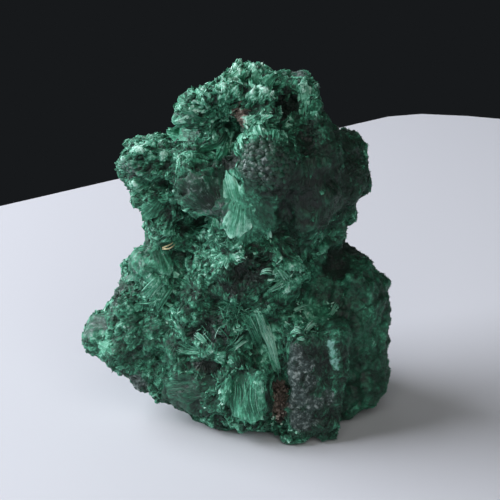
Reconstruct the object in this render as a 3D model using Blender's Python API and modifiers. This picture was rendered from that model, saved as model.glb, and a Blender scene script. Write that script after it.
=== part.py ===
"""A hand specimen of stalactitic malachite, grown as one piece.

Rounded masses stand on each other in three storeys: a broad foot, a body with a
knob on either side, and a crown. Small nodules cover them. On the front, which
faces -Y, the stone is broken open: there sheaves of fibres radiate from their
nuclei, and ridges and grooves follow the fibres. The stone stands on a flat
broken face, at z = 0.
"""

import math

import bmesh
import bpy
import numpy as np
from mathutils import Matrix, Vector, noise

MM = 0.001
SEED = 7

# The size of the grid that fuses the masses, and the number of triangles that the solid keeps.
FUSE_GRID = 0.8 * MM
TRIANGLES = 9300

# The stone's masses, in millimetres: centre (x right, y back, z up) and half sizes.
MASSES = {
    "crown": ((3, 5, 63), (11.6, 9.5, 9.6)),
    "crown cap": ((2.4, 3.5, 67), (7, 6, 6.6)),
    "crown left": ((-6.8, 5.6, 63.2), (5.4, 7, 6)),
    "crown right": ((12.2, 5, 67.4), (4, 6.5, 5.4)),
    "knob over the ball": ((4.6, -9.5, 66.2), (3.8, 3.5, 2.8)),
    "left knob": ((-17.6, 0, 55.4), (6.6, 8, 5)),
    "left knuckle": ((-15.2, -2, 49), (5.2, 7.6, 5)),
    "left disc": ((-7.4, -7.5, 55), (6.6, 6.5, 6)),
    "bright pillar": ((3.2, -10, 52), (6.3, 5.5, 8.8)),
    "shaded column": ((13.6, -4, 53), (7.6, 9, 13.6)),
    "right knob": ((20.4, 3, 52.6), (6.3, 8.8, 8.2)),
    "right thorn": ((21.4, 1, 44), (3.4, 4, 3.2)),
    "body": ((1, 4, 50), (15, 12, 17)),
    "body back": ((2, 11, 54), (12, 8, 13)),
    "waist": ((1, 2, 36), (17, 13, 12)),
    "waist front": ((2, -8, 35), (12, 7.5, 9.5)),
    "waist left": ((-14, -1, 41), (5, 7, 5)),
    "waist right": ((16.6, 4, 38), (5.2, 9, 7.4)),
    "left shoulder": ((-16.4, 0, 29), (7.4, 9.5, 8.2)),
    "left wing": ((-21, -2, 18), (8.5, 9, 8)),
    "wing tip": ((-27.6, -1, 18), (5, 7, 4.6)),
    "wing toe": ((-20.3, -4, 10), (3.6, 4.4, 4)),
    "belly": ((-2, 0, 22), (20, 16, 16)),
    "left sole": ((-10.5, -4, 9.6), (9.8, 8, 5.6)),
    "front foot": ((-3, -6, 10.6), (14, 10.5, 10)),
    "right shoulder": ((18.8, 4, 28.6), (6.8, 9, 7.4)),
    "right hip": ((23, 3, 20), (8.6, 12, 14)),
    "hip tip": ((27.8, 3, 22.4), (4.8, 8, 5.6)),
    "right foot": ((25, 1, 8.4), (7, 10, 8)),
    "foot": ((8, 0, 5), (20, 15, 9)),
    "back": ((2, 11, 27), (20, 11, 19)),
    "back left": ((-13, 11, 17), (10, 9, 11)),
    "back right": ((14, 13, 13), (11, 9, 11)),
    "shoulder's slope": ((-21.4, -1.4, 24.2), (5, 7.6, 5.2)),
}

# Nodules cover a mass: their radius, how far they stand out and the area that each one has.
NODULE_RADIUS = 2.9 * MM
NODULE_SPREAD = (0.75, 1.25)
NODULE_STANDS_OUT = 0.36
NODULE_AREA = 17 * MM * MM
FEWEST_NODULES = 9
# The part of a mass's half sizes that its core has.
CORE_SHARE = 0.95

# Round masses with no nodules, in the same values.
BALLS = {
    "dark ball": ((5.6, -12.8, 59), (6.7, 6.7, 6.7)),
    "striated disc": ((-7.4, -13.4, 53.8), (5.8, 2.6, 5.4)),
}

# Broken blocks with flat sides: centre, half sizes, turn about Z and lean about Y in degrees.
BLOCKS = {
    "dark slab": ((15.4, -11.8, 12.8), (6.2, 6.2, 12.6), 8, 4),
    "bright block": ((2.1, -14, 10.4), (4.8, 5, 7), -12, -3),
    "bright plate": ((-0.6, -12.4, 48.4), (3.8, 3, 6.6), -18, 14),
    "left plate": ((-16.6, -6.6, 33.6), (3, 3.4, 5), 25, -24),
}

# Recesses between the masses, in the same values as the masses.
HOLLOWS = {
    "under the crown": ((-5, -12.6, 60.6), (3.4, 5.4, 2.6)),
    "beside the ball": ((13.4, -13, 65), (2.6, 6, 5)),
    "in the crown": ((9.4, -8, 69.8), (2.8, 6, 2.2)),
    "under the left knob": ((-15, -10, 52.8), (4.8, 4.4, 1.5)),
    "beside the disc": ((-13, -12, 58.6), (1.6, 4, 3.6)),
    "over the right hip": ((21, -9, 41), (5.6, 8, 4.4)),
    "under the ball": ((7.4, -18.4, 51.2), (6, 3.2, 1.2)),
    "open star": ((-7.4, -18.6, 24), (4, 5, 2.6)),
    "beside the block": ((7.8, -18, 10.5), (1.5, 5, 9)),
    "beside the slab": ((23, -13, 18), (1.2, 4, 10)),
    "under the wing": ((-29, -3, 4.6), (7, 12, 6)),
}

# Rosettes of sheaves, in millimetres and degrees: nucleus, way that the rosette faces,
# first and last angle in its plane (0 is level, 90 is up), number of sheaves and reach.
ROSETTES = {
    "crown front": ((-1.6, -6.5, 64.4), (0, -1, 0), 18, 172, 10, 10.6),
    "crown middle": ((2.4, -1.5, 65), (0, -1, 0), 20, 165, 8, 11),
    "crown right": ((9.8, -1, 64), (0, -1, 0), 25, 110, 5, 8.6),
    "left knob": ((-13.6, -6, 54.6), (0, -1, 0), 112, 250, 6, 9.4),
    "left knuckle": ((-10.6, -7, 50), (0, -1, 0), 130, 235, 5, 9.6),
    "left shoulder": ((-12, -6, 31), (0, -1, 0), 120, 215, 5, 11.4),
    "wing": ((-15, -7, 20), (0, -1, 0), 130, 250, 7, 12.6),
    "right hip": ((18, -3, 21), (0, -1, 0), -70, 75, 9, 12.6),
    "haystack": ((-1.6, -13, 29), (0, -1, 0), 0, 330, 11, 8.4),
    "sole": ((-4, -10, 13), (0, -1, 0), 180, 250, 5, 11.6),
}
SHEAF_HALF_ANGLE = math.radians(17)
SHEAF_PLEATS = 4
SHEAF_THICKNESS = 0.5
SHEAF_ROOT = 0.3 * MM
SHEAF_REACH_SPREAD = (0.88, 1.06)
SHEAF_LEANS_OUT = 0.28
GROOVE_DEPTH = 0.24
DOMED_END = 1.06

# Where ridges run along fibres, in millimetres: middle and half sizes of the place, and
# the nucleus that the fibres come from. A place that comes later in the list, and whose
# middle is nearer, takes over from an earlier one.
GRAINS = {
    "crown": ((0, -7, 70), (14, 9, 9), (-2.2, -8, 65)),
    "crown right": ((13.6, -4, 70), (5, 7, 7), (10.6, -5, 63.5)),
    "left knob": ((-19, -6, 57), (8, 9, 7), (-13.2, -8, 55.6)),
    "left knuckle": ((-17, -8, 48.6), (6, 7, 5), (-10.6, -9, 50)),
    "ball": ((5.6, -14, 59), (7.4, 8, 7.4), (5.6, -12.8, 59)),
    "disc": ((-7.4, -14, 54.6), (6.4, 6, 6.4), (-10, -15, 44)),
    "pillar": ((3, -15, 46), (7, 7, 8), (6, -17, 66)),
    "column": ((14, -12, 50), (8, 9, 13), (12.6, -12, 80)),
    "block": ((2.2, -17, 10.6), (6, 6, 8), (7, -17, 46)),
    "slab": ((15.4, -17, 13), (8, 8, 14), (13.6, -16, 76)),
    "star": ((-7, -17, 22), (8.4, 6, 7), (-6.6, -19, 22.6)),
    "haystack": ((-1.5, -17, 31), (9, 7, 6), (-1.5, -17, 28.6)),
    "shoulder": ((-17, -8, 34), (8, 8, 7), (-12, -9, 39)),
    "wing": ((-25, -8, 18), (10, 10, 10), (-14, -10, 22)),
    "sole": ((-12, -13, 9), (9, 9, 6), (-2, -13, 14)),
    "hip": ((27, -8, 18), (9, 12, 16), (18, -2, 22)),
}
RIDGE_SPACING = 3.4 * MM
RIDGE_DEPTH = 1.3 * MM
# Elsewhere the ridges run out of nuclei that are scattered under the skin.
SCATTERED_NUCLEI = 110
NUCLEUS_DEPTH = (4 * MM, 7 * MM)
SCATTERED_DEPTH = 0.9 * MM
# The share of a ridge's depth that is cut in and not raised.
CUT_IN = 0.55
LUMP_SIZE = 6 * MM
LUMP_DEPTH = 1.2 * MM

GOLDEN_TURN = math.pi * (3 - math.sqrt(5))
# Each sheet of random numbers is this far from the next one.
SHEET_STEP = 3.7


def clear_scene():
    for obj in list(bpy.data.objects):
        bpy.data.objects.remove(obj)


def collection_named(name):
    made = bpy.data.collections.new(name)
    bpy.context.scene.collection.children.link(made)
    return made


def object_from(bm, name, home):
    """Puts a bmesh in a new object, in the given collection."""
    mesh = bpy.data.meshes.new(name)
    bm.to_mesh(mesh)
    bm.free()
    obj = bpy.data.objects.new(name, mesh)
    home.objects.link(obj)
    return obj


def placed(centre, half_sizes, turn=0.0, lean=0.0):
    """The matrix that carries a unit solid to its place, from values in millimetres and degrees."""
    return (
        Matrix.Translation(Vector(centre) * MM)
        @ Matrix.Rotation(math.radians(turn), 4, "Z")
        @ Matrix.Rotation(math.radians(lean), 4, "Y")
        @ Matrix.Diagonal((*(Vector(half_sizes) * MM), 1))
    )


def unit_ball(name, subdivisions):
    """A mesh of a ball with radius 1, to copy."""
    bm = bmesh.new()
    bmesh.ops.create_icosphere(bm, subdivisions=subdivisions, radius=1)
    mesh = bpy.data.meshes.new(name)
    bm.to_mesh(mesh)
    bm.free()
    return mesh


def add_copy(bm, mesh, matrix):
    """Adds a turned and scaled copy of a mesh to what is in the bmesh already."""
    copy = mesh.copy()
    copy.transform(matrix)
    bm.from_mesh(copy)
    bpy.data.meshes.remove(copy)


def add_ball(bm, centre, half_sizes):
    bmesh.ops.create_icosphere(bm, subdivisions=4, radius=1, matrix=placed(centre, half_sizes))


def add_block(bm, centre, half_sizes, turn, lean):
    bmesh.ops.create_cube(bm, size=2, matrix=placed(centre, half_sizes, turn, lean))


def skin_area(half_sizes):
    """About the area of an ellipsoid, from the power mean of its three cross sections."""
    a, b, c = half_sizes
    power = 1.6
    mean = ((a * b) ** power + (a * c) ** power + (b * c) ** power) / 3
    return 4 * math.pi * mean ** (1 / power)


def add_mass(bm, centre, half_sizes, nodule, rng):
    """A core, and copies of the nodule all over it in a golden spiral."""
    add_ball(bm, centre, Vector(half_sizes) * CORE_SHARE)
    size = Vector(half_sizes) * MM
    count = max(FEWEST_NODULES, round(skin_area(size) / NODULE_AREA))
    for i in range(count):
        height = 1 - (2 * i + 1) / count
        ring = math.sqrt(1 - height * height)
        turn = GOLDEN_TURN * i + rng.uniform(-0.25, 0.25)
        on_skin = Vector((size.x * ring * math.cos(turn), size.y * ring * math.sin(turn), size.z * height))
        radius = min(NODULE_RADIUS, min(size) / 2) * rng.uniform(*NODULE_SPREAD)
        middle = Vector(centre) * MM + on_skin * (1 - (1 - NODULE_STANDS_OUT) * radius / on_skin.length)
        add_copy(bm, nodule, Matrix.LocRotScale(middle, None, Vector((radius, radius, radius))))


def add_sheaf(bm, nucleus, aim, facing, reach, rng):
    """One sheaf: a cone from its nucleus, thinner the way it faces, with a pleated wall and a ragged end."""
    segments = 2 * SHEAF_PLEATS
    end_radius = reach * math.tan(SHEAF_HALF_ANGLE)
    made = bmesh.ops.create_cone(
        bm,
        cap_ends=True,
        cap_tris=True,
        segments=segments,
        radius1=SHEAF_ROOT,
        radius2=end_radius,
        depth=reach,
        matrix=Matrix.Translation((0, 0, reach / 2)),
    )
    side = facing.cross(aim).normalized()
    frame = Matrix((side, aim.cross(side), aim)).transposed().to_4x4()
    frame.translation = nucleus
    for vert in made["verts"]:
        across = math.hypot(vert.co.x, vert.co.y)
        at_the_end = vert.co.z > reach / 2
        if at_the_end and across < end_radius / 2:
            vert.co.z *= DOMED_END
        elif at_the_end:
            step = round(math.atan2(vert.co.y, vert.co.x) / math.tau * segments)
            in_groove = step % 2 == 1
            vert.co *= 1 - GROOVE_DEPTH if in_groove else rng.uniform(*SHEAF_REACH_SPREAD)
        vert.co.y *= SHEAF_THICKNESS
        vert.co = frame @ vert.co


def add_rosette(bm, nucleus, facing, first, last, count, reach, rng):
    """Sheaves side by side around a nucleus, in the plane across the way the rosette faces."""
    facing = Vector(facing)
    up = Vector((0, 0, 1))
    level = facing.cross(up)
    for i in range(count):
        angle = math.radians(first + (last - first) * i / (count - 1) + rng.uniform(-5, 5))
        aim = -level * math.cos(angle) + up * math.sin(angle)
        aim = (aim + facing * rng.uniform(0, SHEAF_LEANS_OUT)).normalized()
        length = reach * MM * rng.uniform(*SHEAF_REACH_SPREAD)
        add_sheaf(bm, Vector(nucleus) * MM, aim, facing, length, rng)


def rough_stone(home, rng):
    """All masses, blocks and rosettes in one mesh, still passing through each other."""
    bm = bmesh.new()
    for values in ROSETTES.values():
        add_rosette(bm, *values, rng)
    for values in BLOCKS.values():
        add_block(bm, *values)
    for centre, half_sizes in BALLS.values():
        add_ball(bm, centre, half_sizes)
    nodule = unit_ball("nodule", 2)
    for centre, half_sizes in MASSES.values():
        add_mass(bm, centre, half_sizes, nodule, rng)
    bpy.data.meshes.remove(nodule)
    return object_from(bm, "malachite", home)


def apply_modifiers(obj):
    """Replaces the object's mesh by what its modifiers make of it."""
    bpy.context.view_layer.update()
    graph = bpy.context.evaluated_depsgraph_get()
    mesh = bpy.data.meshes.new_from_object(obj.evaluated_get(graph))
    obj.modifiers.clear()
    obj.data = mesh


def keep_outer_skin(obj):
    """Deletes the small closed skins inside the stone, where the fused masses leave a bubble."""
    bm = bmesh.new()
    bm.from_mesh(obj.data)
    unseen = set(bm.verts)
    islands = []
    while unseen:
        island = {unseen.pop()}
        to_visit = list(island)
        while to_visit:
            vert = to_visit.pop()
            for edge in vert.link_edges:
                other = edge.other_vert(vert)
                if other not in island:
                    island.add(other)
                    to_visit.append(other)
        unseen -= island
        islands.append(island)
    islands.sort(key=len)
    for island in islands[:-1]:
        bmesh.ops.delete(bm, geom=list(island), context="VERTS")
    bm.to_mesh(obj.data)
    bm.free()


def fuse(obj):
    """Makes one closed skin of what passes through itself, on a fine grid."""
    remesh = obj.modifiers.new("fuse", "REMESH")
    remesh.mode = "VOXEL"
    remesh.voxel_size = FUSE_GRID
    apply_modifiers(obj)
    keep_outer_skin(obj)


def subtract(obj, bm, name, cutters):
    """Cuts a bmesh out of the object, as a Boolean modifier with its own cutter."""
    cutter = object_from(bm, name, cutters)
    cutter.hide_render = True
    cutter.display_type = "WIRE"
    cut = obj.modifiers.new(name, "BOOLEAN")
    cut.operation = "DIFFERENCE"
    cut.object = cutter
    cut.use_self = True


def cut_hollows(obj, cutters):
    """Takes the recesses out of the fused stone."""
    bm = bmesh.new()
    for centre, half_sizes in HOLLOWS.values():
        add_ball(bm, centre, half_sizes)
    subtract(obj, bm, "hollows", cutters)


def stand_flat(obj, cutters):
    """Cuts the broken face that the stone stands on, at z = 0."""
    bm = bmesh.new()
    bmesh.ops.create_cube(bm, size=2, matrix=placed((0, 0, -20), (60, 60, 20)))
    subtract(obj, bm, "ground", cutters)


def scattered_nuclei(obj, rng):
    """Points under the skin that fibres radiate from."""
    verts = obj.data.vertices
    points = []
    for index in rng.integers(0, len(verts), SCATTERED_NUCLEI):
        vert = verts[int(index)]
        points.append(vert.co - vert.normal * rng.uniform(*NUCLEUS_DEPTH))
    return np.array(points)


def grain_at(places, obj, rng):
    """For each place: the nucleus of its fibres, their distance there, the sheet of noise and the depth."""
    scattered = scattered_nuclei(obj, rng)
    nearest = np.array([((scattered - place) ** 2).sum(axis=1).argmin() for place in places])
    nuclei = scattered[nearest]
    distance = np.full(len(places), float(np.mean(NUCLEUS_DEPTH)))
    sheet = SHEET_STEP * nearest
    depth = np.full(len(places), SCATTERED_DEPTH)
    closest = np.ones(len(places))
    for number, (centre, half_sizes, nucleus) in enumerate(GRAINS.values()):
        off = np.linalg.norm((places / MM - centre) / half_sizes, axis=1)
        inside = off < closest
        closest[inside] = off[inside]
        nuclei[inside] = np.array(nucleus) * MM
        distance[inside] = ((Vector(centre) - Vector(nucleus)).length + min(half_sizes) / 2) * MM
        sheet[inside] = -SHEET_STEP * (1 + number)
        depth[inside] = RIDGE_DEPTH
    return nuclei, distance, sheet, depth


def carve_relief(obj, rng):
    """Moves each point of the skin along its normal, by lumps and by ridges along the fibres."""
    verts = obj.data.vertices
    places = np.array([vert.co for vert in verts])
    nuclei, distance, sheet, depth = grain_at(places, obj, rng)
    moved = np.empty_like(places)
    for i, vert in enumerate(verts):
        outward = (vert.co - Vector(nuclei[i])).normalized()
        across = outward * (distance[i] / RIDGE_SPACING) + Vector((sheet[i], 0, 0))
        ridge = 1 - 2 * abs(noise.noise(across))
        lump = noise.noise(vert.co / LUMP_SIZE)
        push = depth[i] * (ridge - CUT_IN) + LUMP_DEPTH * lump
        moved[i] = vert.co + vert.normal * push
    verts.foreach_set("co", moved.ravel())
    obj.data.update()


def thin_out(obj):
    """Keeps the ridges with far fewer triangles."""
    obj.data.calc_loop_triangles()
    thin = obj.modifiers.new("thin out", "DECIMATE")
    thin.ratio = TRIANGLES / len(obj.data.loop_triangles)
    thin.use_collapse_triangulate = True


def centre_on_axis(obj):
    """Puts the origin under the middle of the stone's box."""
    apply_modifiers(obj)
    corners = np.array([vert.co for vert in obj.data.vertices])
    middle = (corners.min(axis=0) + corners.max(axis=0)) / 2
    obj.data.transform(Matrix.Translation((-middle[0], -middle[1], 0)))


def fibrous_malachite():
    """Deep green, with the soft gloss of packed fibres."""
    material = bpy.data.materials.new("fibrous malachite")
    material.use_nodes = True
    shader = material.node_tree.nodes["Principled BSDF"]
    shader.inputs["Base Color"].default_value = (0.025, 0.16, 0.09, 1)
    shader.inputs["Roughness"].default_value = 0.55
    shader.inputs["Metallic"].default_value = 0.0
    return material


def main():
    clear_scene()
    rng = np.random.default_rng(SEED)
    stone_home = collection_named("stalactitic malachite")
    cutters = collection_named("cutters")
    stone = rough_stone(stone_home, rng)
    fuse(stone)
    cut_hollows(stone, cutters)
    fuse(stone)
    carve_relief(stone, rng)
    thin_out(stone)
    stand_flat(stone, cutters)
    centre_on_axis(stone)
    stone.data.materials.append(fibrous_malachite())
    stone.data.shade_smooth()
    stone.data.set_sharp_from_angle(angle=math.radians(40))


main()
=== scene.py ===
# %% [markdown]
# # A stone of fibrous malachite
# This lesson dresses a green stone that grew as one piece. Its form comes with the frame: three
# storeys of rounded masses, broken open on the front. What the frame leaves out is what malachite
# is known for. Thin fibres radiate from many small centres, lie side by side in bundles, and shine
# like silk where they are broken. We carve the bundles into a fine skin, lay single fibres over
# it as real geometry, and colour both by a few masks.

# %% Load the frame
import math

import bmesh
import bpy
import numpy as np
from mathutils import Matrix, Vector
from mathutils.bvhtree import BVHTree
from mathutils.kdtree import KDTree


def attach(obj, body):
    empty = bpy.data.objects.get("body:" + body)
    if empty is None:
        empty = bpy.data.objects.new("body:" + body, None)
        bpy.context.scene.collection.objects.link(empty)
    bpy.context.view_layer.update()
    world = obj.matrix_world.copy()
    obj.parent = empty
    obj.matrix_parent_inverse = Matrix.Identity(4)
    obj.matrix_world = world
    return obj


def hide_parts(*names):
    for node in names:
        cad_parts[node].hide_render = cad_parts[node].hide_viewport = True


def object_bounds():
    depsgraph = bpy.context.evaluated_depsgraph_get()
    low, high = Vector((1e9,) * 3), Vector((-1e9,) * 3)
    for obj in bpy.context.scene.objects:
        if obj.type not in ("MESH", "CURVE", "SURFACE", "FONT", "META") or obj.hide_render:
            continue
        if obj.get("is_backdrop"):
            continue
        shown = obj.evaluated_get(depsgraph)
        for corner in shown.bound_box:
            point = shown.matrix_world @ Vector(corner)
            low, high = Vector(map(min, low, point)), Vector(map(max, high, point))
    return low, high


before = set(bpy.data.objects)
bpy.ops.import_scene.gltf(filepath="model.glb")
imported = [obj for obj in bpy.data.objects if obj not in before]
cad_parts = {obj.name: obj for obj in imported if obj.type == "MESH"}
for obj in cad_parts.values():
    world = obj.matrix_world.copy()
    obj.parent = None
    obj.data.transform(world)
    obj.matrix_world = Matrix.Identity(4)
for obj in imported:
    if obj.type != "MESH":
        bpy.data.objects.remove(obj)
cad_low, cad_high = (np.array(corner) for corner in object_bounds())
MM = 0.001
print("box of the frame, mm:", (cad_high - cad_low) / MM)

# %% [markdown]
# ## The camera
# The picture was taken from a little above, from close by, so near parts look larger. A camera is
# set by where it looks, from how far, and how many millimetres one pixel covers there. The lens
# follows from these, so we never guess a focal length.

# %% Camera
PHOTO_PIXELS = 500
PIXEL = 0.21 * MM
EYE_DISTANCE = 300 * MM
EYE_HEIGHT = math.radians(20)
AIM_POINT = np.array([2.5, 0.0, 35.5]) * MM
SENSOR_MM = 36


def loose_object(name, data):
    """A new object in the scene, which rides on nothing yet."""
    made = bpy.data.objects.new(name, data)
    bpy.context.scene.collection.objects.link(made)
    return made


to_eye = np.array([0.0, -math.cos(EYE_HEIGHT), math.sin(EYE_HEIGHT)])
eye = AIM_POINT + EYE_DISTANCE * to_eye
right = np.array([1.0, 0.0, 0.0])
up = np.cross(right, -to_eye)

camera = loose_object("camera", bpy.data.cameras.new("camera"))
camera.location = eye
camera.rotation_euler = Vector(-to_eye).to_track_quat("-Z", "Y").to_euler()
camera.data.sensor_width = SENSOR_MM
camera.data.lens = SENSOR_MM * EYE_DISTANCE / (PIXEL * PHOTO_PIXELS)
camera.data.clip_start = 10 * MM
bpy.context.scene.camera = camera
print("lens, mm:", round(camera.data.lens, 1))

# %% [markdown]
# ## Places on the stone
# We name the places that stand out in the picture by their pixel. A ray from the camera through
# that pixel meets the stone, and that point in space is the place, so it sits on the surface from
# every side. The frame's mesh is loose triangles, so we work on a merged copy of it.

# %% Places by pixel
MERGE_WITHIN = 1e-6
merged = bmesh.new()
merged.from_mesh(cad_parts["malachite"].data)
bmesh.ops.remove_doubles(merged, verts=merged.verts, dist=MERGE_WITHIN)
frame_tree = BVHTree.FromBMesh(merged)
frame_corners = np.array([corner.co for corner in merged.verts])


def on_stone(px, py):
    """The point where the ray through a pixel, eye + t (forward + x right + y up), meets the stone.

    A ray that just misses the stone gives its point beside the frame's corner that it passes closest to.
    """
    x = (px - PHOTO_PIXELS / 2) * PIXEL
    y = (PHOTO_PIXELS / 2 - py) * PIXEL
    ray = Vector(-to_eye * EYE_DISTANCE + right * x + up * y).normalized()
    hit = frame_tree.ray_cast(Vector(eye), ray)[0]
    if hit is None:
        missed_by = np.linalg.norm(np.cross(frame_corners - eye, np.array(ray)), axis=1)
        hit = eye + np.array(ray) * ((frame_corners[missed_by.argmin()] - eye) @ np.array(ray))
    return np.array(hit)


# %% [markdown]
# ## Noise for whole arrays
# Natural relief is layered noise. Blender's own noise works on one point at a time, and we have
# over two hundred thousand, so we write a gradient noise that takes them all at once: each corner
# of a unit lattice has a random slope, and a smooth step blends the eight corners around a point.

# %% Noise
LATTICE = 4096
NOISE_GAIN = 1.6
SHEET_STEP = 17.3
lattice_rng = np.random.default_rng(11)
SLOPES = lattice_rng.normal(size=(LATTICE, 3))
SLOPES /= np.linalg.norm(SLOPES, axis=1, keepdims=True)
ORDER = lattice_rng.permutation(LATTICE)
CORNERS = np.array(list(np.ndindex(2, 2, 2)))


def lattice_number(cell):
    """A number from 0 to 4095 for a lattice cell, shuffled so that neighbours have unlike numbers."""
    x, y, z = cell.T % LATTICE
    return ORDER[(x + ORDER[(y + ORDER[z]) % LATTICE]) % LATTICE]


def noise(points, sheet=0.0):
    """Gradient noise of (n, 3) points, about -1 to 1. Another sheet is another pattern."""
    points = points + sheet * SHEET_STEP
    cell = np.floor(points).astype(np.int64)
    inside = points - cell
    ease = inside**3 * (inside * (inside * 6 - 15) + 10)
    total = np.zeros(len(points))
    for corner in CORNERS:
        share = np.prod(np.where(corner, ease, 1 - ease), axis=1)
        slope = SLOPES[lattice_number(cell + corner)]
        total += share * ((inside - corner) * slope).sum(axis=1)
    return NOISE_GAIN * total


def eased(t):
    """The smooth step 3t^2 - 2t^3, with t kept from 0 to 1."""
    t = np.clip(t, 0, 1)
    return t * t * (3 - 2 * t)


# %% [markdown]
# Broken bundles of fibres have edges, which smooth noise hasn't. For them we scatter one centre in
# each lattice cell and give every point to its nearest centre. The distance that the second centre
# is farther away tells how close the point is to the border between two cells.

# %% Cells
CENTRE_SPAN = (0.1, 0.9)
JITTER = lattice_rng.uniform(*CENTRE_SPAN, (LATTICE, 3))
CHANCE = lattice_rng.uniform(-1, 1, (2, LATTICE))
AROUND = np.array(list(np.ndindex(3, 3, 3))) - 1


def cells(points, sheet=0.0):
    """For each point: its cell's number, the way from the cell's centre, and how near the border is."""
    points = points + sheet * SHEET_STEP
    cell = np.floor(points).astype(np.int64)
    number = np.zeros(len(points), np.int64)
    inside = np.zeros(points.shape)
    first = np.full(len(points), np.inf)
    second = np.full(len(points), np.inf)
    for step in AROUND:
        pick = lattice_number(cell + step)
        way = points - cell - step - JITTER[pick]
        away = np.sqrt((way * way).sum(axis=1))
        closer = away < first
        second = np.where(closer, first, np.minimum(second, away))
        first = np.where(closer, away, first)
        number = np.where(closer, pick, number)
        inside[closer] = way[closer]
    return number, inside, second - first


# %% [markdown]
# ## A fine skin
# The frame's triangles are about 2 mm long, too coarse for relief. A voxel remesh wraps the same
# form in an even skin of small faces, and a few rounds of averaging with the neighbours melt the
# flat facets. The relief comes after that.

# %% Fine skin
SKIN_GRID = 0.31 * MM
MELT_ROUNDS = 14
MELT_SHARE = 0.5
TINY = 1e-12


def mesh_from(name, points, faces):
    """A mesh of triangles, from an (n, 3) array of points and an (m, 3) array of corners."""
    mesh = bpy.data.meshes.new(name)
    mesh.vertices.add(len(points))
    mesh.vertices.foreach_set("co", np.ascontiguousarray(points, np.float32).ravel())
    mesh.loops.add(len(faces) * 3)
    mesh.loops.foreach_set("vertex_index", np.ascontiguousarray(faces, np.int32).ravel())
    mesh.polygons.add(len(faces))
    mesh.polygons.foreach_set("loop_start", np.arange(0, len(faces) * 3, 3, dtype=np.int32))
    mesh.update()
    return mesh


def arrays_of(mesh):
    """Points and triangles of a mesh, as arrays."""
    mesh.calc_loop_triangles()
    points = np.empty(len(mesh.vertices) * 3, np.float32)
    mesh.vertices.foreach_get("co", points)
    faces = np.empty(len(mesh.loop_triangles) * 3, np.int32)
    mesh.loop_triangles.foreach_get("vertices", faces)
    return points.reshape(-1, 3).astype(float), faces.reshape(-1, 3)


def unit(vectors):
    """Each row scaled to length one."""
    return vectors / np.maximum(np.linalg.norm(vectors, axis=-1, keepdims=True), TINY)


def dot(one, other):
    """The dot product of each pair of rows."""
    return (one * other).sum(axis=-1)


def summed_at(index, values, count):
    """For each of count places, the sum of the rows of values whose index names that place."""
    return np.stack([np.bincount(index, column, count) for column in values.T], axis=1)


def normals_of(points, faces):
    """The unit normal of each point: the sum of the cross products of its triangles."""
    a, b, c = (points[faces[:, i]] for i in range(3))
    flat = np.cross(b - a, c - a)
    return unit(summed_at(faces.ravel(), np.repeat(flat, 3, axis=0), len(points)))


def edges_of(faces):
    """For each corner of each triangle: its point, and the next one around."""
    return faces.ravel(), np.roll(faces, -1, axis=1).ravel()


def melted(points, faces, rounds):
    """Each round moves a point part of the way to the mean of its neighbours."""
    start, end = edges_of(faces)
    links = np.maximum(np.bincount(start, minlength=len(points)), 1)[:, None]
    for _ in range(rounds):
        mean = summed_at(start, points[end], len(points)) / links
        points = points + MELT_SHARE * (mean - points)
    return points


def evaluated(thing):
    """The mesh of an object with its modifiers applied. The object is removed."""
    graph = bpy.context.evaluated_depsgraph_get()
    mesh = bpy.data.meshes.new_from_object(thing.evaluated_get(graph))
    bpy.data.objects.remove(thing)
    return mesh


coarse = loose_object("coarse skin", bpy.data.meshes.new("coarse skin"))
merged.to_mesh(coarse.data)
merged.free()
wrap = coarse.modifiers.new("wrap", "REMESH")
wrap.mode = "VOXEL"
wrap.voxel_size = SKIN_GRID
skin, faces = arrays_of(evaluated(coarse))
skin = melted(skin, faces, MELT_ROUNDS)
skin_normals = normals_of(skin, faces)
print("points and triangles of the skin:", len(skin), len(faces))

# %% [markdown]
# ## What differs from place to place
# The stone isn't the same all over: some faces are silky plates, some are a dark crust of
# manganese oxide, some are a brown spot of iron rust, and most is a felt of fibres. Each property
# is one number for each point of the skin. We start from the usual value and paint the named
# places over it, like a brush with a soft and ragged edge. Some named places are painted darker as
# painted shade: recesses, gaps, the notch, around the ball and the side away from the window.

# %% Properties of the skin
USUAL = {
    # Low paleness also stands for painted shade in recesses, gaps and on the shadow side.
    "pale": 0.50,     # 0 is the deep green of a recess, 1 the mint of a freshly broken fibre
    "crust": 0.0,     # a dark grey coat
    "rust": 0.0,      # brown iron oxide
    "blue": 0.0,      # a pale blue-green film
    "relief": 1.0,    # the height of the bundles
    "lobes": 0.0,     # how far the skin swells in broad domes
    "knobs": 0.0,     # how far it swells in small ones
    "crumb": 0.8,     # how much the bundles are broken to crumbs
    "sheaves": 1.0,   # how many sheaves stand here
    "sheaf": 0.95,    # the length of a small sheaf, in millimetres
    "cover": 1.0,     # how many single fibres lie here
    "lean": 0.45,     # how far the fibres stray from the way their bundle points
    "lift": 6.0,      # degrees that the fibres rise from the surface
    "length": 0.9,    # of a fibre, in millimetres
    "width": 0.17,    # of a fibre, in millimetres
}
VELVET = {
    "lift": 40, "length": 0.42, "width": 0.17, "relief": 0.3, "crumb": 0.4, "lobes": 0.5, "sheaves": 0.07,
}
SMOOTH = {"relief": 0.3, "crumb": 0.15, "cover": 0.2, "sheaves": 0.08, "lean": 0.1}
WEATHERED = {"relief": 0.65, "crumb": 0.5, "sheaves": 0.8}
FILM = SMOOTH | {"blue": 0.44, "pale": 0.5}
GRAVEL = {"cover": 0.05, "sheaves": 0.0, "relief": 0.6}
# A gap painted near black: painted shade.
GAP = {"pale": 0.0, "cover": 0.2, "sheaves": 0.1}
BOTRYOIDAL = {"relief": 0.15, "crumb": 0.1, "cover": 0.02, "sheaves": 0.0, "knobs": 1.0}
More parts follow.
